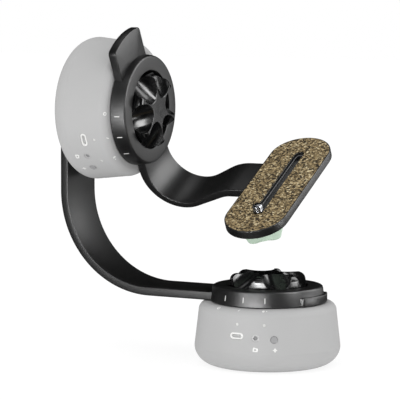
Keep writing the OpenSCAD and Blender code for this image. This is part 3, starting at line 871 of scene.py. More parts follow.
def stub_outline(r: float, width: float, corner: float) -> np.ndarray:
    """Outline of a bar's end along +x: an arc with rounded corners, and a square root inside the disc.

    A corner's circle touches the bar's side and the arc from within, so its centre is at r less the
    corner radius from the middle.

    Args:
        r: Radius of the end.
        width: Width of the bar.
        corner: Radius of the two corners.

    Returns:
        Closed anticlockwise outline.
    """
    cy = width / 2.0 - corner
    cx = math.sqrt((r - corner) ** 2 - cy ** 2)
    turn = math.degrees(math.atan2(cy, cx))
    side = np.linspace(width / 2.0, -width / 2.0, 8)[:, None]
    return np.concatenate([
        arc(cx, -cy, corner, -90.0, -turn, 6)[:-1],
        arc(0.0, 0.0, r, -turn, turn, 32),
        arc(cx, cy, corner, turn, 90.0, 6)[1:],
        np.hstack([np.full_like(side, STUB_ROOT), side]),
    ])


# Frames of the head's parts

STAGE_Z = 39.2
TILT_Z = 154.6
TILT_REACH = 91.4
TILT_POSE = 27.4
TILT_ROLL = 24.0
PAN_UNIT = Placement.at(0.0, 0.0, 0.0)
PAN_DISC = Placement.at(0.0, 0.0, STAGE_Z)
TILT_UNIT = Placement.at(-TILT_REACH - STAGE_Z, 0.0, TILT_Z).turned(Axis.X, TILT_ROLL).turned(Axis.Y, 90.0)
TILT_STAGE = Placement.at(-TILT_REACH, 0.0, TILT_Z).turned(Axis.X, TILT_POSE)
TILT_DISC = TILT_STAGE.turned(Axis.Y, 90.0)

# Finishes of each motor unit's CAD nodes, by name without the stage's prefix
INSIDE: dict[str, Finish] = {
    "socket": BRASS, "chassis": CAST, "bearing_outer": BEARING, "bearing_balls": BEARING,
    "bearing_inner": BEARING, "retaining_ring": SPRING, "turntable": CAST, "friction_ring": RUBBER,
    "drive_gear": NYLON, "pinion": BRASS, "motor_shaft": BEARING, "motor": CAN, "battery": WRAP,
    "circuit_board": BOARD, "charging_port": STAMPED, "camera_jack": JACK, "status_lights": LIGHT,
    "base_screws": PLATED, "chassis_screws": PLATED, "clamp_screw": PLATED, "knob_washer": WASHER,
    "shell": CASING, "base_cover": CASING, "power_button": BUTTON,
}

# Finishes of the CAD nodes outside the motor units
BRACKET: dict[str, Finish] = {
    "arm_pad": RUBBER, "tilt_mount_screw": PLATED, "screw_washer": WASHER, "pan_arm": ALLOY,
    "tilt_arm": ALLOY, "pan_knob": GLOSS, "tilt_knob": GLOSS, "cork_pad": CORK, "camera_screw": BRIGHT,
    "camera_screw_knob": MINT,
}


@dataclass
class MotorUnit:
    """Round motor unit: casing in two halves, ports, button, lights and printed marks.

    A spot on the casing is an angle in degrees and a height.
    """

    stage: Stage
    place: Placement
    body: str
    wide_r: float = 45.0
    top_r: float = 42.5
    height: float = 38.8
    flat_r: float = 32.0
    seam: float = 12.0
    seam_edge: float = 0.08
    seam_step: float = 0.02
    seam_band: float = 1.0
    shoulder: float = 5.0
    wall: float = 2.4
    land_r: float = 36.0
    mouth_r: float = 30.8
    mouth_edge: float = 0.5
    bush_r: float = 6.425
    bush_edge: float = 0.3
    port: Pair = (-90.0, 23.1)
    port_size: Pair = (8.8, 4.2)
    jack: Pair = (-74.3, 22.3)
    jack_r: float = 2.25
    button: Pair = (-59.6, 21.5)
    button_r: float = 2.1
    button_gap: float = 0.12
    button_in: float = 1.8
    button_proud: float = 0.5
    lights: tuple[Pair, ...] = ((-90.0, 30.0), (-67.5, 30.0))
    light_r: float = 0.95
    sunk: float = 0.12
    bezel: Pair = (8.7, 4.1)
    bezel_hole: Pair = (6.3, 2.0)
    bezel_z: Pair = (-1.2, 0.0)
    back: Pair = (6.2, 1.95)
    back_z: Pair = (-2.4, -0.9)
    tongue: Pair = (4.4, 0.8)
    tongue_z: Pair = (-1.5, -0.5)
    sleeve_r: float = 1.5
    screw_ring: float = 28.0
    screw_angles: tuple[float, ...] = (10.0, 170.0, 215.0, 325.0)
    head_r: float = 3.0
    head_z: Pair = (-1.0, 2.0)
    stem_r: float = 1.7
    stem_z: Pair = (-0.5, 6.0)
    icon_way: float = 15.3
    sign_way: float = 39.1

    def name(self, piece: str) -> str:
        """Name of one of this unit's pieces."""
        return f"{self.stage.value}_{piece}"

    def radius(self, z: np.ndarray | float) -> np.ndarray:
        """Casing radius at a height: a cone up to the shoulder, then a quarter circle.

        Args:
            z: Heights above the base.

        Returns:
            Outer radii at those heights.
        """
        side_top = self.height - self.shoulder
        z = np.asarray(z, dtype=float)
        cone = self.wide_r + (self.top_r - self.wide_r) * (z - self.seam) / (side_top - self.seam)
        up = np.clip((z - side_top) / self.shoulder, 0.0, 1.0)
        return np.where(z < side_top, cone, self.top_r - self.shoulder * (1.0 - np.sqrt(1.0 - up * up)))

    def facing(self, spot: Pair, sunk: float) -> Placement:
        """Placement at a spot, sunk below the casing's skin, whose z axis points out through the wall."""
        reach = float(self.radius(spot[1])) - sunk
        return self.place.turned(Axis.Z, spot[0]).moved(reach, 0.0, spot[1]).turned(Axis.Y, 90.0)

    def cutter(self, loop: np.ndarray, spot: Pair) -> Piece:
        """Straight cutter with the given outline through the wall at a spot."""
        solid = plate(loop, 0.0, 3.0 * self.wall, CUT_EDGE, 1)
        return solid.mesh_object("cutter", self.facing(spot, 2.0 * self.wall))

    def shell(self) -> None:
        """Upper casing: its section turned round the axis, with openings for ports, button and lights."""
        side_top = self.height - self.shoulder
        corner_r = self.top_r - self.shoulder
        side = np.linspace(self.seam + self.seam_band, side_top, 10)
        profile = np.concatenate([
            [[self.wide_r - self.seam_edge, self.seam]],
            [[self.wide_r - self.seam_step, self.seam + self.seam_edge]],
            np.stack([self.radius(side), side], axis=-1),
            arc(corner_r, side_top, self.shoulder, 4.0, 90.0, 20),
            rounded([(self.land_r, self.height, 0.0), (self.mouth_r, self.height, self.mouth_edge),
                     (self.mouth_r, self.height - self.wall, 0.0)], closed=False),
            arc(corner_r, side_top, self.shoulder - self.wall, 90.0, 0.0, 8),
            [[self.wide_r - self.wall, self.seam]],
        ])
        made = revolved(profile, 192).mesh_object(self.name("casing"), self.place)
        cutters = [
            self.cutter(stadium(*self.port_size, steps=16, straight=4), self.port),
            self.cutter(circle(self.jack_r, 40), self.jack),
            self.cutter(circle(self.button_r + self.button_gap, 40), self.button),
        ]
        cutters += [self.cutter(circle(self.light_r, 40), spot) for spot in self.lights]
        Mount(self.body, "casing_plastic", CASING, (self.name("shell"),)).hang(pierced(made, cutters))

    def base(self) -> None:
        """Lower casing: flat underside, elliptic side and sunk screw holes, turned round the axis."""
        a = np.radians(np.linspace(-90.0, 0.0, 33))[:-1]
        wide = self.wide_r - self.flat_r
        inside = arc(0.0, 0.0, 1.0, 0.0, -90.0, 16) * [wide - self.wall, self.seam - self.wall]
        profile = np.concatenate([
            [[self.bush_r, self.bush_edge], [self.bush_r + self.bush_edge, 0.0]],
            np.stack([self.flat_r + wide * np.cos(a), self.seam + self.seam * np.sin(a)], axis=-1),
            [[self.wide_r - self.seam_step, self.seam - self.seam_edge]],
            [[self.wide_r - self.seam_edge, self.seam]],
            [[self.wide_r - self.wall, self.seam]],
            inside + [self.flat_r, self.seam],
            [[self.bush_r, self.wall]],
        ])
        made = revolved(profile, 192).mesh_object(self.name("base"), self.place)
        head = plate(circle(self.head_r, 40), *self.head_z, CUT_EDGE, 1)
        stem = plate(circle(self.stem_r, 32), *self.stem_z, CUT_EDGE, 1)
        cutters = [
            solid.mesh_object("cutter", self.place.turned(Axis.Z, angle).moved(self.screw_ring, 0.0, 0.0))
            for angle in self.screw_angles for solid in (head, stem)
        ]
        Mount(self.body, "casing_plastic", CASING, (self.name("base_cover"),)).hang(pierced(made, cutters))

    def sockets(self) -> None:
        """White rim with a pale tongue in the charging port, and a pale sleeve in the jack's bore."""
        front = self.facing(self.port, self.sunk)
        rim = ring_plate(
            stadium(*self.bezel, 16, 4), stadium(*self.bezel_hole, 16, 4), *self.bezel_z, 0.25, 0.3)
        Mount(self.body, "light_pipe", PRINT).hang(rim.mesh_object(self.name("port_bezel"), front))
        insert = Surface.joined([
            plate(stadium(*self.back, 16, 4), *self.back_z, 0.1, 2),
            plate(stadium(*self.tongue, 12, 4), *self.tongue_z, 0.2, 2),
        ])
        Mount(self.body, "light_pipe", JACK).hang(insert.mesh_object(self.name("port_insert"), front))
        sleeve = plate(circle(self.sleeve_r, 32), *self.back_z, 0.2, 2)
        made = sleeve.mesh_object(self.name("jack_sleeve"), self.facing(self.jack, self.sunk))
        Mount(self.body, "light_pipe", BUTTON).hang(made)

    def push_button(self) -> None:
        """Round button with a dished face and a flange inside the wall: a profile turned round its axis."""
        inside = self.wall + self.button_in
        top = inside + self.button_proud
        r = self.button_r
        profile = rounded([
            (0.0, top - 0.18, 0.0), (r - 0.75, top - 0.12, 0.5), (r - 0.4, top, 0.15), (r - 0.05, top, 0.22),
            (r - 0.05, 1.2, 0.0), (r + 0.9, 1.2, 0.1), (r + 0.9, 0.0, 0.1), (0.0, 0.0, 0.0),
        ], closed=False)
        solid = revolved(profile, 64, closed=False)
        made = solid.mesh_object(self.name("button"), self.facing(self.button, inside))
        Mount(self.name("button"), "button_plastic", BUTTON, (self.name("power_button"),)).hang(made)

    def on_casing(self, flat: np.ndarray, spot: Pair) -> np.ndarray:
        """Wraps a flat mark onto the casing.

        A mark's x runs round the casing to the right as seen from outside, as an angle of its length over
        the local radius. Its y runs up the skin: up the cone, then as an angle round the shoulder's
        quarter circle. The skin is lifted by the ink's thickness.

        Args:
            flat: Points across and up, in millimetres.
            spot: Angle of the mark's middle, and its way up the skin, which is its height as far as the
                shoulder.

        Returns:
            Points in the unit's own frame.
        """
        side_top = self.height - self.shoulder
        way = spot[1] + flat[..., 1]
        up = np.clip((way - side_top) / self.shoulder, 0.0, math.pi / 2.0)
        bend = self.shoulder + INK
        low = np.minimum(way, side_top)
        r = self.radius(low) + INK - bend * (1.0 - np.cos(up))
        return polar(r, math.radians(spot[0]) + flat[..., 0] / np.median(r), low + bend * np.sin(up))

    def mark(self, loop: np.ndarray, spot: Pair, hollow: float = 0.0) -> Surface:
        """Printed mark: its outline shrunk towards its middle in steps, wrapped onto the casing.

        Args:
            loop: Outline round its own middle.
            spot: Angle of the middle and its way up the skin.
            hollow: Share of the outline's size that stays open in the middle.

        Returns:
            The open surface.
        """
        share = np.linspace(1.0, max(hollow, 1e-4), 4)[:, None, None]
        return Surface.grid(self.on_casing(loop[None] * share, spot), close_columns=True)

    def marks(self) -> None:
        """White marks: camera and star icons below the ports, and small signs on the shoulder."""
        body = rounded([
            (-1.6, -1.15, 0.4), (1.6, -1.15, 0.4), (1.6, 1.05, 0.4), (0.3, 1.05, 0.1), (-0.1, 1.5, 0.1),
            (-1.1, 1.5, 0.1), (-1.3, 1.05, 0.1), (-1.6, 1.05, 0.3),
        ], 4)
        turn = np.radians(np.arange(0.0, 360.0, 7.5))
        star = np.stack([np.cos(turn) ** 3, np.sin(turn) ** 3], axis=-1) * 1.7
        dash = rounded([(-1.0, -0.28, 0.2), (1.0, -0.28, 0.2), (1.0, 0.28, 0.2), (-1.0, 0.28, 0.2)], 3)
        slash = dash @ np.array([[0.6, 0.8], [-0.8, 0.6]])
        parts = [
            self.mark(body, (-74.2, self.icon_way), 0.42),
            self.mark(star, (-58.9, self.icon_way)),
            self.mark(circle(1.25, 24), (-112.5, self.sign_way), 0.55),
            self.mark(circle(0.3, 24), (-112.5, self.sign_way)),
            self.mark(slash, (-90.0, self.sign_way)),
            self.mark(circle(1.0, 24) * [0.8, 1.0], (-68.4, self.sign_way)),
            self.mark(circle(0.4, 24), (-65.6, self.sign_way)),
        ]
        made = Surface.joined(parts).print_object(self.name("marks"), self.place)
        Mount(self.body, "light_pipe", PRINT).hang(made)

    def build(self) -> None:
        """Makes every new piece of the unit and dresses its CAD nodes."""
        self.shell()
        self.base()
        self.sockets()
        self.push_button()
        self.marks()
        dress({self.name(node): finish for node, finish in INSIDE.items()})


@dataclass
class ClampDisc:
    """Round clamp disc with a well for its knob, and index marks on its rim."""

    stage: Stage
    place: Placement
    body: str
    node: str
    low_r: float = 35.3
    high_r: float = 33.9
    height: float = 9.8
    edge: float = 1.5
    low_edge: float = 0.35
    well_r: float = 24.6
    well_edge: float = 0.5
    well_root: float = 0.8
    floor: float = 3.0
    hole_r: float = 5.0
    hole_edge: float = 0.3
    mark_angles: tuple[float, ...] = (-112.5, -90.0, -67.5)
    mark_low: float = 2.6
    mark_high: float = 6.0
    mark_w: float = 0.55

    def build(self) -> None:
        """Makes the disc, its section turned round the axis, and its marks."""
        profile = rounded([
            (self.hole_r, 0.0, self.hole_edge), (self.low_r, 0.0, self.low_edge),
            (self.high_r, self.height, self.edge), (self.well_r, self.height, self.well_edge),
            (self.well_r, self.floor, self.well_root), (self.hole_r, self.floor, self.hole_edge),
        ], 8)
        made = revolved(profile, 256).mesh_object(f"{self.stage.value}_clamp_disc", self.place)
        Mount(self.body, "black_alloy", ALLOY, (self.node,)).hang(made)
        self.marks()

    def marks(self) -> None:
        """White index lines: patches of the rim's cone, lifted by the ink's thickness."""
        tall = np.linspace(self.mark_low, self.mark_high, 6)[:, None]
        r = self.low_r + (self.high_r - self.low_r) * tall / self.height + INK
        wide = np.linspace(-0.5, 0.5, 4)[None] * self.mark_w / self.low_r
        parts = [Surface.grid(polar(r, math.radians(angle) + wide, tall)) for angle in self.mark_angles]
        made = Surface.joined(parts).print_object(f"{self.stage.value}_index_marks", self.place)
        Mount(self.body, "light_pipe", PRINT).hang(made)


@dataclass
class StarKnob:
    """Clamp knob with finger scoops that leave a star on its top."""

    stage: Stage
    place: Placement
    body: str
    turn: float
    washer: float
    r: float = 23.4
    low: float = 3.0
    top: float = 15.0
    edge: float = 4.0
    low_edge: float = 0.4
    bore_r: float = 4.8
    bore_h: float = 4.9
    scoops: int = 6
    scoop_r: float = 9.8
    scoop_l: float = 22.2
    scoop_in: float = 2.0
    scoop_z: float = 16.1
    slope: float = 30.0
    blend: float = 0.3
    clear: float = 20.0

    def scoop_height(self, r: np.ndarray, a: np.ndarray) -> np.ndarray:
        """Height of the scoops' floor over a spot.

        Each scoop is a long egg, round about an axis that passes over the rim at scoop_z and slopes down
        outwards, with its middle scoop_in further in. A spot's height in it is the lower root of the
        egg's quadratic equation: the squared share of the length along the axis and that of the radius
        about it add up to one. Spots beside the egg get a height above the knob.

        Args:
            r: Radii.
            a: Angles, in radians.

        Returns:
            Heights of the lowest scoop over each spot.
        """
        pitch = 2.0 * math.pi / self.scoops
        near = (a + pitch / 2.0) % pitch - pitch / 2.0
        along, aside = r * np.cos(near) - self.r, r * np.sin(near)
        s, c = math.sin(math.radians(self.slope)), math.cos(math.radians(self.slope))
        run, rise = (along * c + self.scoop_in) / self.scoop_l, along * s / self.scoop_r
        square = (s / self.scoop_l) ** 2 + (c / self.scoop_r) ** 2
        first = rise * c / self.scoop_r - run * s / self.scoop_l
        rest = run ** 2 + rise ** 2 + (aside / self.scoop_r) ** 2 - 1.0
        inside = first ** 2 - square * rest
        floor = self.scoop_z - (first + np.sqrt(np.clip(inside, 0.0, None))) / square
        return np.where(inside > 0.0, floor, self.top + self.clear)

    def build(self) -> None:
        """Makes the knob: its turned form, lowered to the scoops' floor where that is lower."""
        a = full_turn(480)
        flat = np.linspace(0.0, self.r - self.edge, 76)[:, None]
        fillet = np.radians(np.linspace(90.0, 0.0, 20))[1:, None]
        r_top = np.concatenate([flat, self.r - self.edge * (1.0 - np.cos(fillet))]) + 0.0 * a
        z_turned = np.concatenate([flat * 0.0 + self.top, self.top - self.edge * (1.0 - np.sin(fillet))])
        z_top = soft_min(z_turned + 0.0 * a, self.scoop_height(r_top, a), self.blend)
        share = np.linspace(1.0, 0.0, 8)[1:, None]
        z_wall = self.low + self.low_edge + share * (z_top[-1:] - self.low - self.low_edge)
        r_wall = np.full_like(z_wall, self.r)
        bore_top = self.low + self.bore_h
        r_base = np.array([self.r - self.low_edge, self.bore_r, self.bore_r, 0.0])[:, None] + 0.0 * a
        z_base = np.array([self.low, self.low, bore_top, bore_top])[:, None] + 0.0 * a
        points = polar(np.concatenate([r_top, r_wall, r_base]), a, np.concatenate([z_top, z_wall, z_base]))
        place = self.place.moved(0.0, 0.0, self.washer).turned(Axis.Z, self.turn)
        solid = Surface.grid(points, close_columns=True)
        made = solid.mesh_object(f"{self.stage.value}_star_knob", place, crease=50.0)
        Mount(self.body, "knob_plastic", GLOSS, (f"{self.stage.value}_knob",)).hang(made)


@dataclass
class PanArm:
    """L-shaped arm: stub, level bar, wide bend and upright with a round end behind the tilt unit."""

    body: str = "pan_stage"
    width: float = 34.8
    thick: float = 5.4
    edge: float = 0.7
    low: float = STAGE_Z
    inner_x: float = -132.1
    bend_in: float = 57.0
    bend_out: float = 63.5
    end_r: float = 24.0
    hole_r: float = 3.475
    hole_edge: float = 0.3
    fillet: float = 8.0
    stub_r: float = 36.7
    stub_corner: float = 1.5
    start: float = -29.0
    tuck: float = 0.03

    def face(self, x: float, z: float, bend: float, tuck: float) -> np.ndarray:
        """Path of one face of the bar: level, round the bend and up the upright.

        Args:
            x: Place of the upright's face.
            z: Height of the level's face.
            bend: Radius of the bend.
            tuck: Shift of the upright's face past the bend.

        Returns:
            Points across and up.
        """
        level = np.linspace(self.start, x + bend, 8)[:-1, None]
        rise = np.linspace(z + bend, TILT_Z, 40)[1:, None]
        return np.concatenate([
            np.hstack([level, np.full_like(level, z)]),
            arc(x + bend, z + bend, bend, 270.0, 180.0, 48),
            np.hstack([np.full_like(rise, x + tuck), rise]),
        ])

    def half_width(self, z: np.ndarray) -> np.ndarray:
        """Half the bar's width at a height: straight, then a fillet that meets the round end.

        The fillet's circle touches the bar's side and the end's circle, so its centre stands one fillet
        radius outside both. Past the touching point the bar stays inside the round end.

        Args:
            z: Heights along the upright.

        Returns:
            Half widths at those heights.
        """
        half = self.width / 2.0
        span = self.end_r + self.fillet
        centre = TILT_Z - math.sqrt(span ** 2 - (half + self.fillet) ** 2)
        meet = centre + (TILT_Z - centre) * self.fillet / span
        run = np.clip(z, centre, meet) - centre
        return half + self.fillet - np.sqrt(self.fillet ** 2 - run ** 2)

    def build(self) -> None:
        """Makes the bar, its round end and its stub."""
        alloy = Mount(self.body, "black_alloy", ALLOY, ("pan_arm",))
        outer_x = self.inner_x - self.thick
        inside = self.face(self.inner_x, self.low + self.thick, self.bend_in, -self.tuck)
        outside = self.face(outer_x, self.low, self.bend_out, self.tuck)
        bar = ribbon(inside, outside, self.half_width(outside[:, 1]), self.edge)
        alloy.hang(bar.mesh_object("pan_arm_bar", PAN_UNIT))
        end = ring_plate(
            circle(self.end_r, 96), circle(self.hole_r, 96), 0.0, self.thick, self.edge, self.hole_edge)
        alloy.hang(end.mesh_object("pan_arm_end", Placement.at(outer_x, 0.0, TILT_Z).turned(Axis.Y, 90.0)))
        stub = plate(stub_outline(self.stub_r, self.width, self.stub_corner), 0.0, self.thick, self.edge)
        alloy.hang(stub.mesh_object("pan_arm_stub", PAN_DISC))


@dataclass
class TiltArm:
    """Tilt arm: fin, swept bar and camera platform with its slot."""

    body: str = "tilt_stage"
    width: float = 32.4
    thick: float = 5.4
    edge: float = 0.7
    fin_w: float = 34.8
    fin_r: float = 52.4
    fin_corner: float = 3.0
    root: float = -26.0
    dip: float = 58.4
    dip_t: float = 3.7
    dip_r: float = 22.0
    rise_r: float = 32.0
    rise_slope: float = 27.6
    under_r: float = 26.6
    under_rise_r: float = 20.0
    under_slope: float = 21.4
    platform_x: float = 91.4
    platform_l: float = 110.4
    platform_w: float = 39.8
    platform_y: float = -7.6
    platform_z: float = -51.15
    platform_t: float = 4.5
    platform_edge: float = 0.4
    slot_l: float = 74.0
    slot_w: float = 6.6
    slot_y: float = -6.0
    slot_edge: float = 0.3
    rib: float = 2.0
    rib_wall: float = 2.0
    rib_in: float = 1.0
    skin_gap: float = 0.1
    skin_edge: float = 0.02
    # Black sheet of painted shade on the slot's upper wall.
    shade_t: float = 0.25
    shade_end: float = 0.4
    shade_lip: float = 0.15
    shade_sunk: float = 0.8
    rail_t: float = 0.7
    rail_h: float = 2.3
    rail_lip: float = 0.05
    strip_t: float = 0.25
    strip_lip: float = 0.1
    cork_t: float = 0.9
    cork_rim: float = 0.7
    cork_proud: float = 0.05
    cork_edge: float = 0.12
    tuck: float = 0.03

    def dip_path(
        self, face: float, low: float, end: float, slope: float, r1: float, r2: float, last: float,
    ) -> np.ndarray:
        """Path of one face of the swept bar, in the plane of the tilt axis.

        It goes straight down from the disc, round an arc of radius r1 through the low point, up the
        slope, and round an arc of radius r2 to level at the platform.

        Args:
            face: Distance of the face from the clamp face.
            low: Height of the low point.
            end: Height at the platform.
            slope: Slope of the rise, in degrees.
            r1: Radius of the low arc.
            r2: Radius of the high arc.
            last: Where the path ends, along the tilt axis.

        Returns:
            Points along the tilt axis and up.
        """
        s, c = math.sin(math.radians(slope)), math.cos(math.radians(slope))
        c1 = np.array([face + r1, low + r1])
        p1 = c1 + r1 * np.array([s, -c])
        climb = (end - p1[1] - r2 * (1.0 - c)) / s
        p2 = p1 + climb * np.array([c, s])
        c2 = p2 + r2 * np.array([s, -c])
        fall = np.linspace(self.root, c1[1], 6)[:-1, None]
        rise = p1 + np.linspace(0.0, 1.0, 5)[1:-1, None] * (p2 - p1)
        level = np.linspace(c2[0], last, 8)[1:, None]
        return np.concatenate([
            np.hstack([np.full_like(fall, face), fall]),
            arc(*c1, r1, 180.0, 270.0 + slope, 40),
            rise,
            arc(*c2, r2, 90.0 + slope, 90.0, 24),
            np.hstack([level, np.full_like(level, end)]),
        ])

    def slot_loop(self, length: float, width: float) -> np.ndarray:
        """Outline round the slot's middle that is longer and wider than the slot by so much."""
        return stadium(self.slot_l + length, self.slot_w + width) + [self.platform_x, self.slot_y]

    def platform_loop(self, inset: float) -> np.ndarray:
        """Outline of the platform, moved inwards by the inset."""
        size = (self.platform_l - 2.0 * inset, self.platform_w - 2.0 * inset)
        return stadium(*size) + [self.platform_x, self.platform_y]

    def bars(self, alloy: Mount, top: float) -> None:
        """Makes the swept bar between its two paths, and the fin.

        Args:
            alloy: What both hang on.
            top: Height of the platform's top.
        """
        last = self.platform_x - self.platform_w / 4.0
        upper = self.dip_path(
            self.thick, -self.dip, top - self.tuck, self.rise_slope, self.dip_r, self.rise_r, last)
        lower = self.dip_path(
            0.0, -self.dip - self.dip_t, top - self.thick, self.under_slope, self.under_r,
            self.under_rise_r, last)
        bar = ribbon(upper, lower, np.full(len(upper), self.width / 2.0), self.edge)
        alloy.hang(bar.mesh_object("tilt_arm_bar", TILT_STAGE))
        fin = plate(stub_outline(self.fin_r, self.fin_w, self.fin_corner), 0.0, self.thick, self.edge)
        alloy.hang(fin.mesh_object("tilt_arm_fin", TILT_DISC.turned(Axis.Z, 180.0)))

    def build(self) -> None:
        """Makes the swept bar, the fin, the platform with its slot, and its cork."""
        alloy = Mount(self.body, "black_alloy", ALLOY, ("tilt_arm",))
        under = self.platform_z
        top = under + self.platform_t
        self.bars(alloy, top)
        slot = self.slot_loop(0.0, 0.0)
        # The cork lies in a shallow tray, so that the platform's rim stands round it as a thin dark line.
        tray = (self.cork_rim, self.cork_t - self.cork_proud)
        platform = ring_plate(
            self.platform_loop(0.0), slot, under, top + tray[1], self.platform_edge, self.slot_edge, tray)
        alloy.hang(platform.mesh_object("camera_platform", TILT_STAGE))
        around = self.slot_loop(2.0 * self.rib_wall, 2.0 * self.rib_wall)
        rib = ring_plate(
            around, slot, under - self.rib, under + self.rib_in, self.platform_edge, self.slot_edge)
        alloy.hang(rib.mesh_object("slot_rib", TILT_STAGE))
        # The rail stands out below the black sheet; its pale top strip is a painted highlight, the thin
        # light line along the slot.
        step = under + self.rail_h
        skin = self.slot_loop(-self.skin_gap, -self.skin_gap)
        way = self.slot_loop(-2.0 * self.shade_end, -2.0 * self.shade_t)
        narrow = self.slot_loop(-2.0 * self.rail_t, -2.0 * self.rail_t)
        # The black sheet on the slot's upper wall is painted shade, the shadow inside the slot.
        shade_sheet = ring_plate(
            skin, way, step + self.strip_t, top - self.shade_sunk, self.skin_edge, self.shade_lip)
        Mount(self.body, "rubber", SLOT_SHADE).hang(shade_sheet.mesh_object("slot_painted_shade", TILT_STAGE))
        rail = ring_plate(
            skin, narrow, under - self.rib + self.skin_gap, step, self.skin_edge, self.rail_lip)
        Mount(self.body, "rubber", RAIL).hang(rail.mesh_object("slot_rail", TILT_STAGE))
        strip = ring_plate(skin, narrow, step, step + self.strip_t, self.skin_edge, self.strip_lip)
        Mount(self.body, "rubber", EDGE_HIGHLIGHT).hang(strip.mesh_object("slot_rail_painted_highlight", TILT_STAGE))
        cork = ring_plate(
            self.platform_loop(self.cork_rim), slot, top, top + self.cork_t, self.cork_edge, self.cork_edge)
        Mount(self.body, "cork", CORK, ("cork_pad",)).hang(cork.mesh_object("cork_sheet", TILT_STAGE))


@dataclass
class CameraScrew:
    """Camera screw with its thread, and the wing knob below the platform."""

    body: str = "camera_screw"
    x: float = 91.4
    y: float = -39.5
    thread_r: float = 3.1
    root_r: float = 2.65
    neck_r: float = 2.5
    pitch: float = 1.27
    crest: Pair = (1.25, 0.12)
    tip_in: float = 0.15
    start_in: float = 0.1
    low: float = -45.65
    proud: float = 4.2
    foot: float = -63.65
    wing_top: float = -54.65
    wing_h: float = 13.0
    wing_r: float = 12.5
    wing_half: float = 3.7
    wing_thin: float = 0.35
    hub_r: float = 5.9
    wing_share: float = 0.75
    wing_turn: float = 25.0
    blend: float = 1.6
    dish: float = 2.6
    dish_gain: float = 1.25
    taper: float = 0.24
    taper_share: float = 0.8

    def build(self) -> None:
        """Makes the screw and its wing knob."""
        self.screw()
        self.knob()

    def screw(self) -> None:
        """Screw: a neck, then a thread whose radius is a ridge wave of the height less the turn.

        At each spot the radius runs between root and crest as a flattened wave of height over pitch minus
        angle over a full turn, and a cone cuts the crest back at both ends.
        """
        a = full_turn(72)
        top = self.low + self.proud
        z = np.linspace(self.low, top, 110)[:, None]
        wave = 0.5 + 0.5 * np.cos(2.0 * math.pi * ((z - self.low) / self.pitch) - a)
        gain, cut = self.crest
        ridge = self.root_r + (self.thread_r - self.root_r) * np.clip(gain * wave - cut, 0.0, 1.0)
        ends = np.minimum(
            self.root_r - self.tip_in + (top - z), self.root_r - self.start_in + (z - self.low))
        foot_z = np.array([self.foot, self.foot, self.low])[:, None]
        foot_r = np.array([0.0, self.neck_r, self.neck_r])[:, None]
        r = np.concatenate([foot_r + 0.0 * a, np.minimum(ridge, ends), [[0.0]] + 0.0 * a])
        points = polar(r, a, np.concatenate([foot_z, z, [[top]]]))
        place = TILT_STAGE.moved(self.x, self.y, 0.0)
        made = Surface.grid(points, close_columns=True).mesh_object("threaded_screw", place, crease=60.0)
        Mount(self.body, "bright_steel", BRIGHT, ("camera_screw",)).hang(made)

    def knob(self) -> None:
        """Wing knob: a round hub and two wings, each row's radius the larger of the two.

        The wing's radius is that of a squarish oval with the wing's reach and half width. Both fall off in
        a rounded edge at the top of the wings and of the hub, and the reach tapers towards the lower end.
        The underside is dished: rows near it rise beside the wings by the square of the sine of the angle.
        """
        a = full_turn(192)
        t = np.linspace(0.0, 1.0, 56)[:, None]
        middle = self.wing_share / 2.0
        fall = np.sqrt(np.clip(1.0 - (np.abs(t - middle) / middle) ** 8, 0.0, 1.0))
        lean = 1.0 - self.taper * np.clip(1.0 - t / (self.taper_share * self.wing_share), 0.0, 1.0)
        reach = self.wing_r * fall * lean + 0.01
        half = self.wing_half * (self.wing_thin + (1.0 - self.wing_thin) * fall)
        wing = ((np.abs(np.cos(a)) / reach) ** 4 + (np.abs(np.sin(a)) / half) ** 4) ** -0.25
        hub = self.hub_r * np.sqrt(np.clip(1.0 - np.abs(2.0 * t - 1.0) ** 10, 0.0, 1.0)) + 0.0 * a
        r = np.minimum(-soft_min(-wing, -hub, self.blend), self.wing_r)
        dish = self.dish * np.clip(self.dish_gain * np.sin(a) ** 2, 0.0, 1.0) * (1.0 - t) ** 3
        points = polar(r, a, self.wing_h * t + dish)
        cap = np.zeros_like(points[:1])
        points = np.concatenate([cap + [0.0, 0.0, self.dish], points, cap + [0.0, 0.0, self.wing_h]])
        place = TILT_STAGE.moved(self.x, self.y, self.wing_top - self.wing_h).turned(Axis.Z, self.wing_turn)
        made = Surface.grid(points, close_columns=True).mesh_object("wing_knob", place, crease=45.0)
        Mount(self.body, "mint_plastic", MINT, ("camera_screw_knob",)).hang(made)


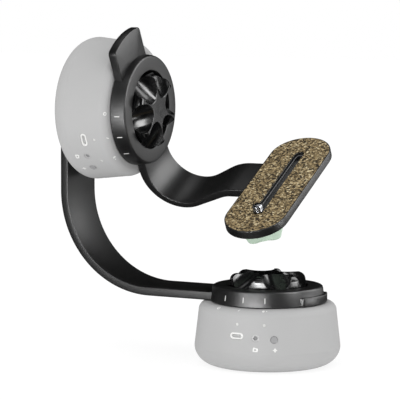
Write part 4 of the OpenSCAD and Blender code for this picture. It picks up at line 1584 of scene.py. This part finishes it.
@dataclass
class Studio:
    """Camera at the photograph's place, soft boxes, white surround and floor, in metres.

    An azimuth is in degrees from the front towards +X, and an elevation in degrees above the level.
    """

    target: Point = (-0.04699, 0.0, 0.09907)
    azimuth: float = 26.98
    elevation: float = 5.61
    roll: float = 0.15
    distance: float = 1.38215
    lens: float = 199.5
    fill: float = 0.85
    paper_lift: float = 0.3
    paper_glow: float = 0.82
    cloth_r: float = 1.3
    cloth_z: float = 0.02
    pan_rim: Point = (0.0, 0.0, 0.023)
    tilt_rim: Point = (-0.085, -0.034, 0.15)
    tilt_knob: Point = (-0.08, -0.015, 0.15)
    platform: Point = (0.03, 0.0, 0.11)

    def direction(self, azimuth: float, elevation: float) -> np.ndarray:
        """Unit vector from the object towards an azimuth and elevation."""
        a, e = math.radians(azimuth), math.radians(elevation)
        return np.array([math.sin(a) * math.cos(e), -math.cos(a) * math.cos(e), math.sin(e)])

    def across(self, back: np.ndarray) -> tuple[np.ndarray, np.ndarray]:
        """Level and upright directions of what faces along minus back.

        Args:
            back: Unit vector away from what is faced.

        Returns:
            Unit vectors to the right and up.
        """
        right = np.cross([0.0, 0.0, 1.0], back)
        right = right / np.linalg.norm(right)
        return right, np.cross(back, right)

    def aimed(self, thing: Piece, reach: float, back: np.ndarray, roll: float = 0.0) -> None:
        """Puts a camera or lamp round the target, facing it.

        Args:
            thing: Camera or lamp.
            reach: Distance from the target.
            back: Unit vector from the target to it.
            roll: Turn about its own line of sight, in degrees.
        """
        right, up = self.across(back)
        c, s = math.cos(math.radians(roll)), math.sin(math.radians(roll))
        matrix = np.eye(4)
        place = np.array(self.target) + reach * back
        matrix[:3] = np.stack([c * right + s * up, c * up - s * right, back, place], axis=-1)
        thing.matrix_world = Matrix(matrix.tolist())
        bpy.context.scene.collection.objects.link(thing)

    def camera(self) -> None:
        """Makes the camera of the photograph."""
        data = bpy.data.cameras.new("camera")
        data.lens = self.lens
        data.sensor_width = 36.0
        made = bpy.data.objects.new("camera", data)
        self.aimed(made, self.distance, self.direction(self.azimuth, self.elevation), self.roll)
        bpy.context.scene.camera = made

    def softbox(
        self, name: str, azimuth: float, elevation: float, reach: float, size: Pair, level: float,
    ) -> None:
        """Adds a soft box.

        Args:
            name: Lamp name.
            azimuth: Side it stands on.
            elevation: Height of its middle.
            reach: Distance from the object.
            size: Width and height.
            level: Brightness of its face, where 1 is a white surface in full light.
        """
        data = bpy.data.lights.new(name, "AREA")
        data.shape = "RECTANGLE"
        data.size, data.size_y = size
        data.energy = level * math.pi * size[0] * size[1]
        made = bpy.data.objects.new(name, data)
        made.visible_camera = False
        self.aimed(made, reach, self.direction(azimuth, elevation))

    def seen(self, tree: Tree) -> Socket:
        """Tells the rays that show the background from the rest.

        Args:
            tree: Node tree of the floor or the world.

        Returns:
            Socket that is 1 for camera, glossy and transmission rays.
        """
        path = add_node(tree, "ShaderNodeLightPath").outputs
        first = add_node(tree, "ShaderNodeMath", {"operation": "MAXIMUM"},
                         {0: path["Is Camera Ray"], 1: path["Is Glossy Ray"]})
        return add_node(tree, "ShaderNodeMath", {"operation": "MAXIMUM"},
                        {0: first.outputs[0], 1: path["Is Transmission Ray"]}).outputs[0]

    def surround(self) -> None:
        """White world for the camera and for reflections, and a softer fill for everything else."""
        world = bpy.data.worlds.new("surround")
        tree, surface = bare_tree(world, "ShaderNodeOutputWorld")
        soft = add_node(tree, "ShaderNodeBackground", {"Color": linear(WHITE), "Strength": self.fill})
        white = add_node(tree, "ShaderNodeBackground", {"Color": linear(WHITE), "Strength": 1.0})
        mix = add_node(tree, "ShaderNodeMixShader",
                       links={0: self.seen(tree), 1: soft.outputs[0], 2: white.outputs[0]})
        tree.links.new(mix.outputs[0], surface)
        bpy.context.scene.world = world

    def floor(self) -> None:
        """Pale floor that reads white and keeps a soft shadow."""
        paper = bpy.data.materials.new("matte_white_paper_floor")
        tree, surface = bare_tree(paper, "ShaderNodeOutputMaterial")
        matte = add_node(tree, "ShaderNodeBsdfDiffuse", {"Color": linear("#e8e8e8")})
        lift = add_node(tree, "ShaderNodeEmission", {"Color": linear(WHITE), "Strength": self.paper_lift})
        plain = add_node(tree, "ShaderNodeAddShader", links={0: matte.outputs[0], 1: lift.outputs[0]})
        thin = add_node(tree, "ShaderNodeBsdfDiffuse", {"Color": linear("#8a8a8a")})
        glow = add_node(tree, "ShaderNodeEmission", {"Color": linear(WHITE), "Strength": self.paper_glow})
        lit = add_node(tree, "ShaderNodeAddShader", links={0: thin.outputs[0], 1: glow.outputs[0]})
        mix = add_node(tree, "ShaderNodeMixShader",
                       links={0: self.seen(tree), 1: plain.outputs[0], 2: lit.outputs[0]})
        tree.links.new(mix.outputs[0], surface)
        half = 5000.0
        corners = [[[-half, -half, 0.0], [half, -half, 0.0]], [[-half, half, 0.0], [half, half, 0.0]]]
        made = Surface.grid(np.array(corners)).mesh_object("floor", Placement.at(0.0, 0.0, -0.2))
        made.data.materials.append(paper)

    def card(self, name: str, grid: np.ndarray, shader: str, settings: dict[str | int, object]) -> None:
        """Hangs a card that only reflections see, so that it shapes the sheen and lights nothing.

        Args:
            name: Object and material name.
            grid: Points of the card.
            shader: Type of its one shader node.
            settings: Values of that node's sockets.
        """
        cloth = bpy.data.materials.new(name)
        tree, surface = bare_tree(cloth, "ShaderNodeOutputMaterial")
        tree.links.new(add_node(tree, shader, settings).outputs[0], surface)
        made = Surface.grid(grid / MM).mesh_object(name, Placement.at(0.0, 0.0, 0.0))
        made.data.materials.append(cloth)
        made.visible_camera = False
        made.visible_diffuse = False
        made.visible_shadow = False
        made.visible_transmission = False

    def flag(self, name: str, sides: Pair, heights: Pair) -> None:
        """Hangs a black cloth round a part of the set: a piece of a sphere, two angles mapped to one radius.

        Args:
            name: Object name.
            sides: First and last azimuth.
            heights: First and last elevation.
        """
        a = np.radians(np.linspace(*sides, 24))[:, None]
        e = np.radians(np.linspace(*heights, 12))[None]
        ball = np.stack([np.sin(a) * np.cos(e), -np.cos(a) * np.cos(e), np.sin(e) + 0.0 * a], axis=-1)
        middle = np.array([self.target[0], 0.0, self.cloth_z])
        self.card(name, middle + self.cloth_r * ball, "ShaderNodeBsdfDiffuse", {"Color": linear(CLOTH)})

    def mat(self, name: str, sides: Pair, reach: Pair, height: float = 0.0003) -> None:
        """Lays a black cloth on the floor or over it, a piece of a ring: angle and radius on the level.

        Args:
            name: Object name.
            sides: First and last azimuth.
            reach: Inner and outer radius.
            height: Height over the floor.
        """
        a = np.radians(np.linspace(*sides, 40))[:, None]
        r = np.linspace(*reach, 4)[None]
        ring = np.stack([r * np.sin(a), -r * np.cos(a), height + 0.0 * r * a], axis=-1)
        self.card(name, ring, "ShaderNodeBsdfDiffuse", {"Color": linear(CLOTH)})

    def reflector(
        self, name: str, azimuth: float, elevation: float, reach: float, size: Pair, level: float,
        spot: Point,
    ) -> None:
        """Hangs a bright flat card whose mirror image is a highlight.

        Args:
            name: Object name.
            azimuth: Side it hangs on.
            elevation: Height of its middle.
            reach: Distance from the spot.
            size: Width and height.
            level: Brightness of its face, where 1 is white.
            spot: Place that it faces.
        """
        back = self.direction(azimuth, elevation)
        right, up = self.across(back)
        wide = np.linspace(-0.5, 0.5, 2)[:, None, None] * size[0] * right
        tall = np.linspace(-0.5, 0.5, 2)[None, :, None] * size[1] * up
        middle = np.array(spot) + reach * back
        face = {"Color": linear(WHITE), "Strength": level}
        self.card(name, middle + wide + tall, "ShaderNodeEmission", face)

    def build(self) -> None:
        """Sets the camera, the light, the floor and the cards."""
        bpy.context.scene.view_settings.view_transform = "Standard"
        self.camera()
        self.surround()
        self.floor()
        # Black cloth keeps the black parts black: round the front and back, over the swept bar's middle,
        # beside the L-shaped arm's upright, and on the floor. The last one shades the tilt knob's scoops.
        self.flag("front_flag", (-112.0, 116.0), (1.0, 88.0))
        self.flag("back_flag", (180.0, 246.0), (1.0, 60.0))
        self.flag("high_flag", (116.0, 180.0), (44.0, 88.0))
        self.flag("side_flag", (152.0, 180.0), (1.0, 44.0))
        self.mat("front_mat", (-112.0, 116.0), (0.06, 1.3))
        self.mat("back_mat", (116.0, 246.0), (0.06, 1.5))
        self.mat("knob_shade", (-15.0, 65.0), (0.17, 0.33), 0.06)
        # Highlights of the pan disc's rim and of the pan knob's scoops
        self.reflector("pan_rim_card", 1.0, 0.0, 0.35, (0.2, 0.042), 37.0, self.pan_rim)
        self.reflector("knob_left_card", -14.0, 0.0, 0.36, (0.12, 0.042), 14.0, self.pan_rim)
        self.reflector("knob_right_card", 112.0, 0.0, 0.35, (0.16, 0.042), 11.0, self.pan_rim)
        self.reflector("pan_strip", 14.0, 14.0, 0.98, (0.08, 0.3), 14.0, self.target)
        # Highlights of the tilt disc's rim and of the tilt knob's scoops
        self.reflector("tilt_rim_card", -9.0, -9.0, 0.34, (0.12, 0.1), 8.0, self.tilt_rim)
        self.reflector("tilt_strip", -9.0, 2.0, 0.5, (0.03, 0.15), 14.0, self.tilt_rim)
        self.reflector("scoop_card", 84.0, 22.0, 0.6, (0.16, 0.42), 14.0, self.tilt_knob)
        # Soft sheen of the platform's side and of the swept bar
        self.reflector("platform_card", 153.0, -2.0, 0.4, (0.16, 0.1), 1.8, self.platform)
        self.reflector("sweep_card", 134.0, 28.0, 0.62, (0.34, 0.42), 4.5, self.target)
        self.softbox("top_box", 5.0, 58.0, 1.1, (0.5, 0.4), 1.6)
        self.softbox("front_box", -5.0, 20.0, 1.1, (0.5, 0.4), 0.8)


def main() -> None:
    """Builds the studio and the head."""
    logging.basicConfig(level=logging.INFO, format="%(name)s %(message)s")
    Studio().build()
    MotorUnit(Stage.PAN, PAN_UNIT, "base").build()
    MotorUnit(Stage.TILT, TILT_UNIT, "pan_stage").build()
    PanArm().build()
    ClampDisc(Stage.PAN, PAN_DISC, "pan_stage", "pan_arm").build()
    TiltArm().build()
    ClampDisc(Stage.TILT, TILT_DISC, "tilt_stage", "tilt_arm").build()
    StarKnob(Stage.PAN, PAN_DISC, "pan_knob", 10.0, 2.4).build()
    StarKnob(Stage.TILT, TILT_DISC, "tilt_knob", 17.3, 1.0).build()
    CameraScrew().build()
    dress(BRACKET)


if __name__ == "__main__":
    main()
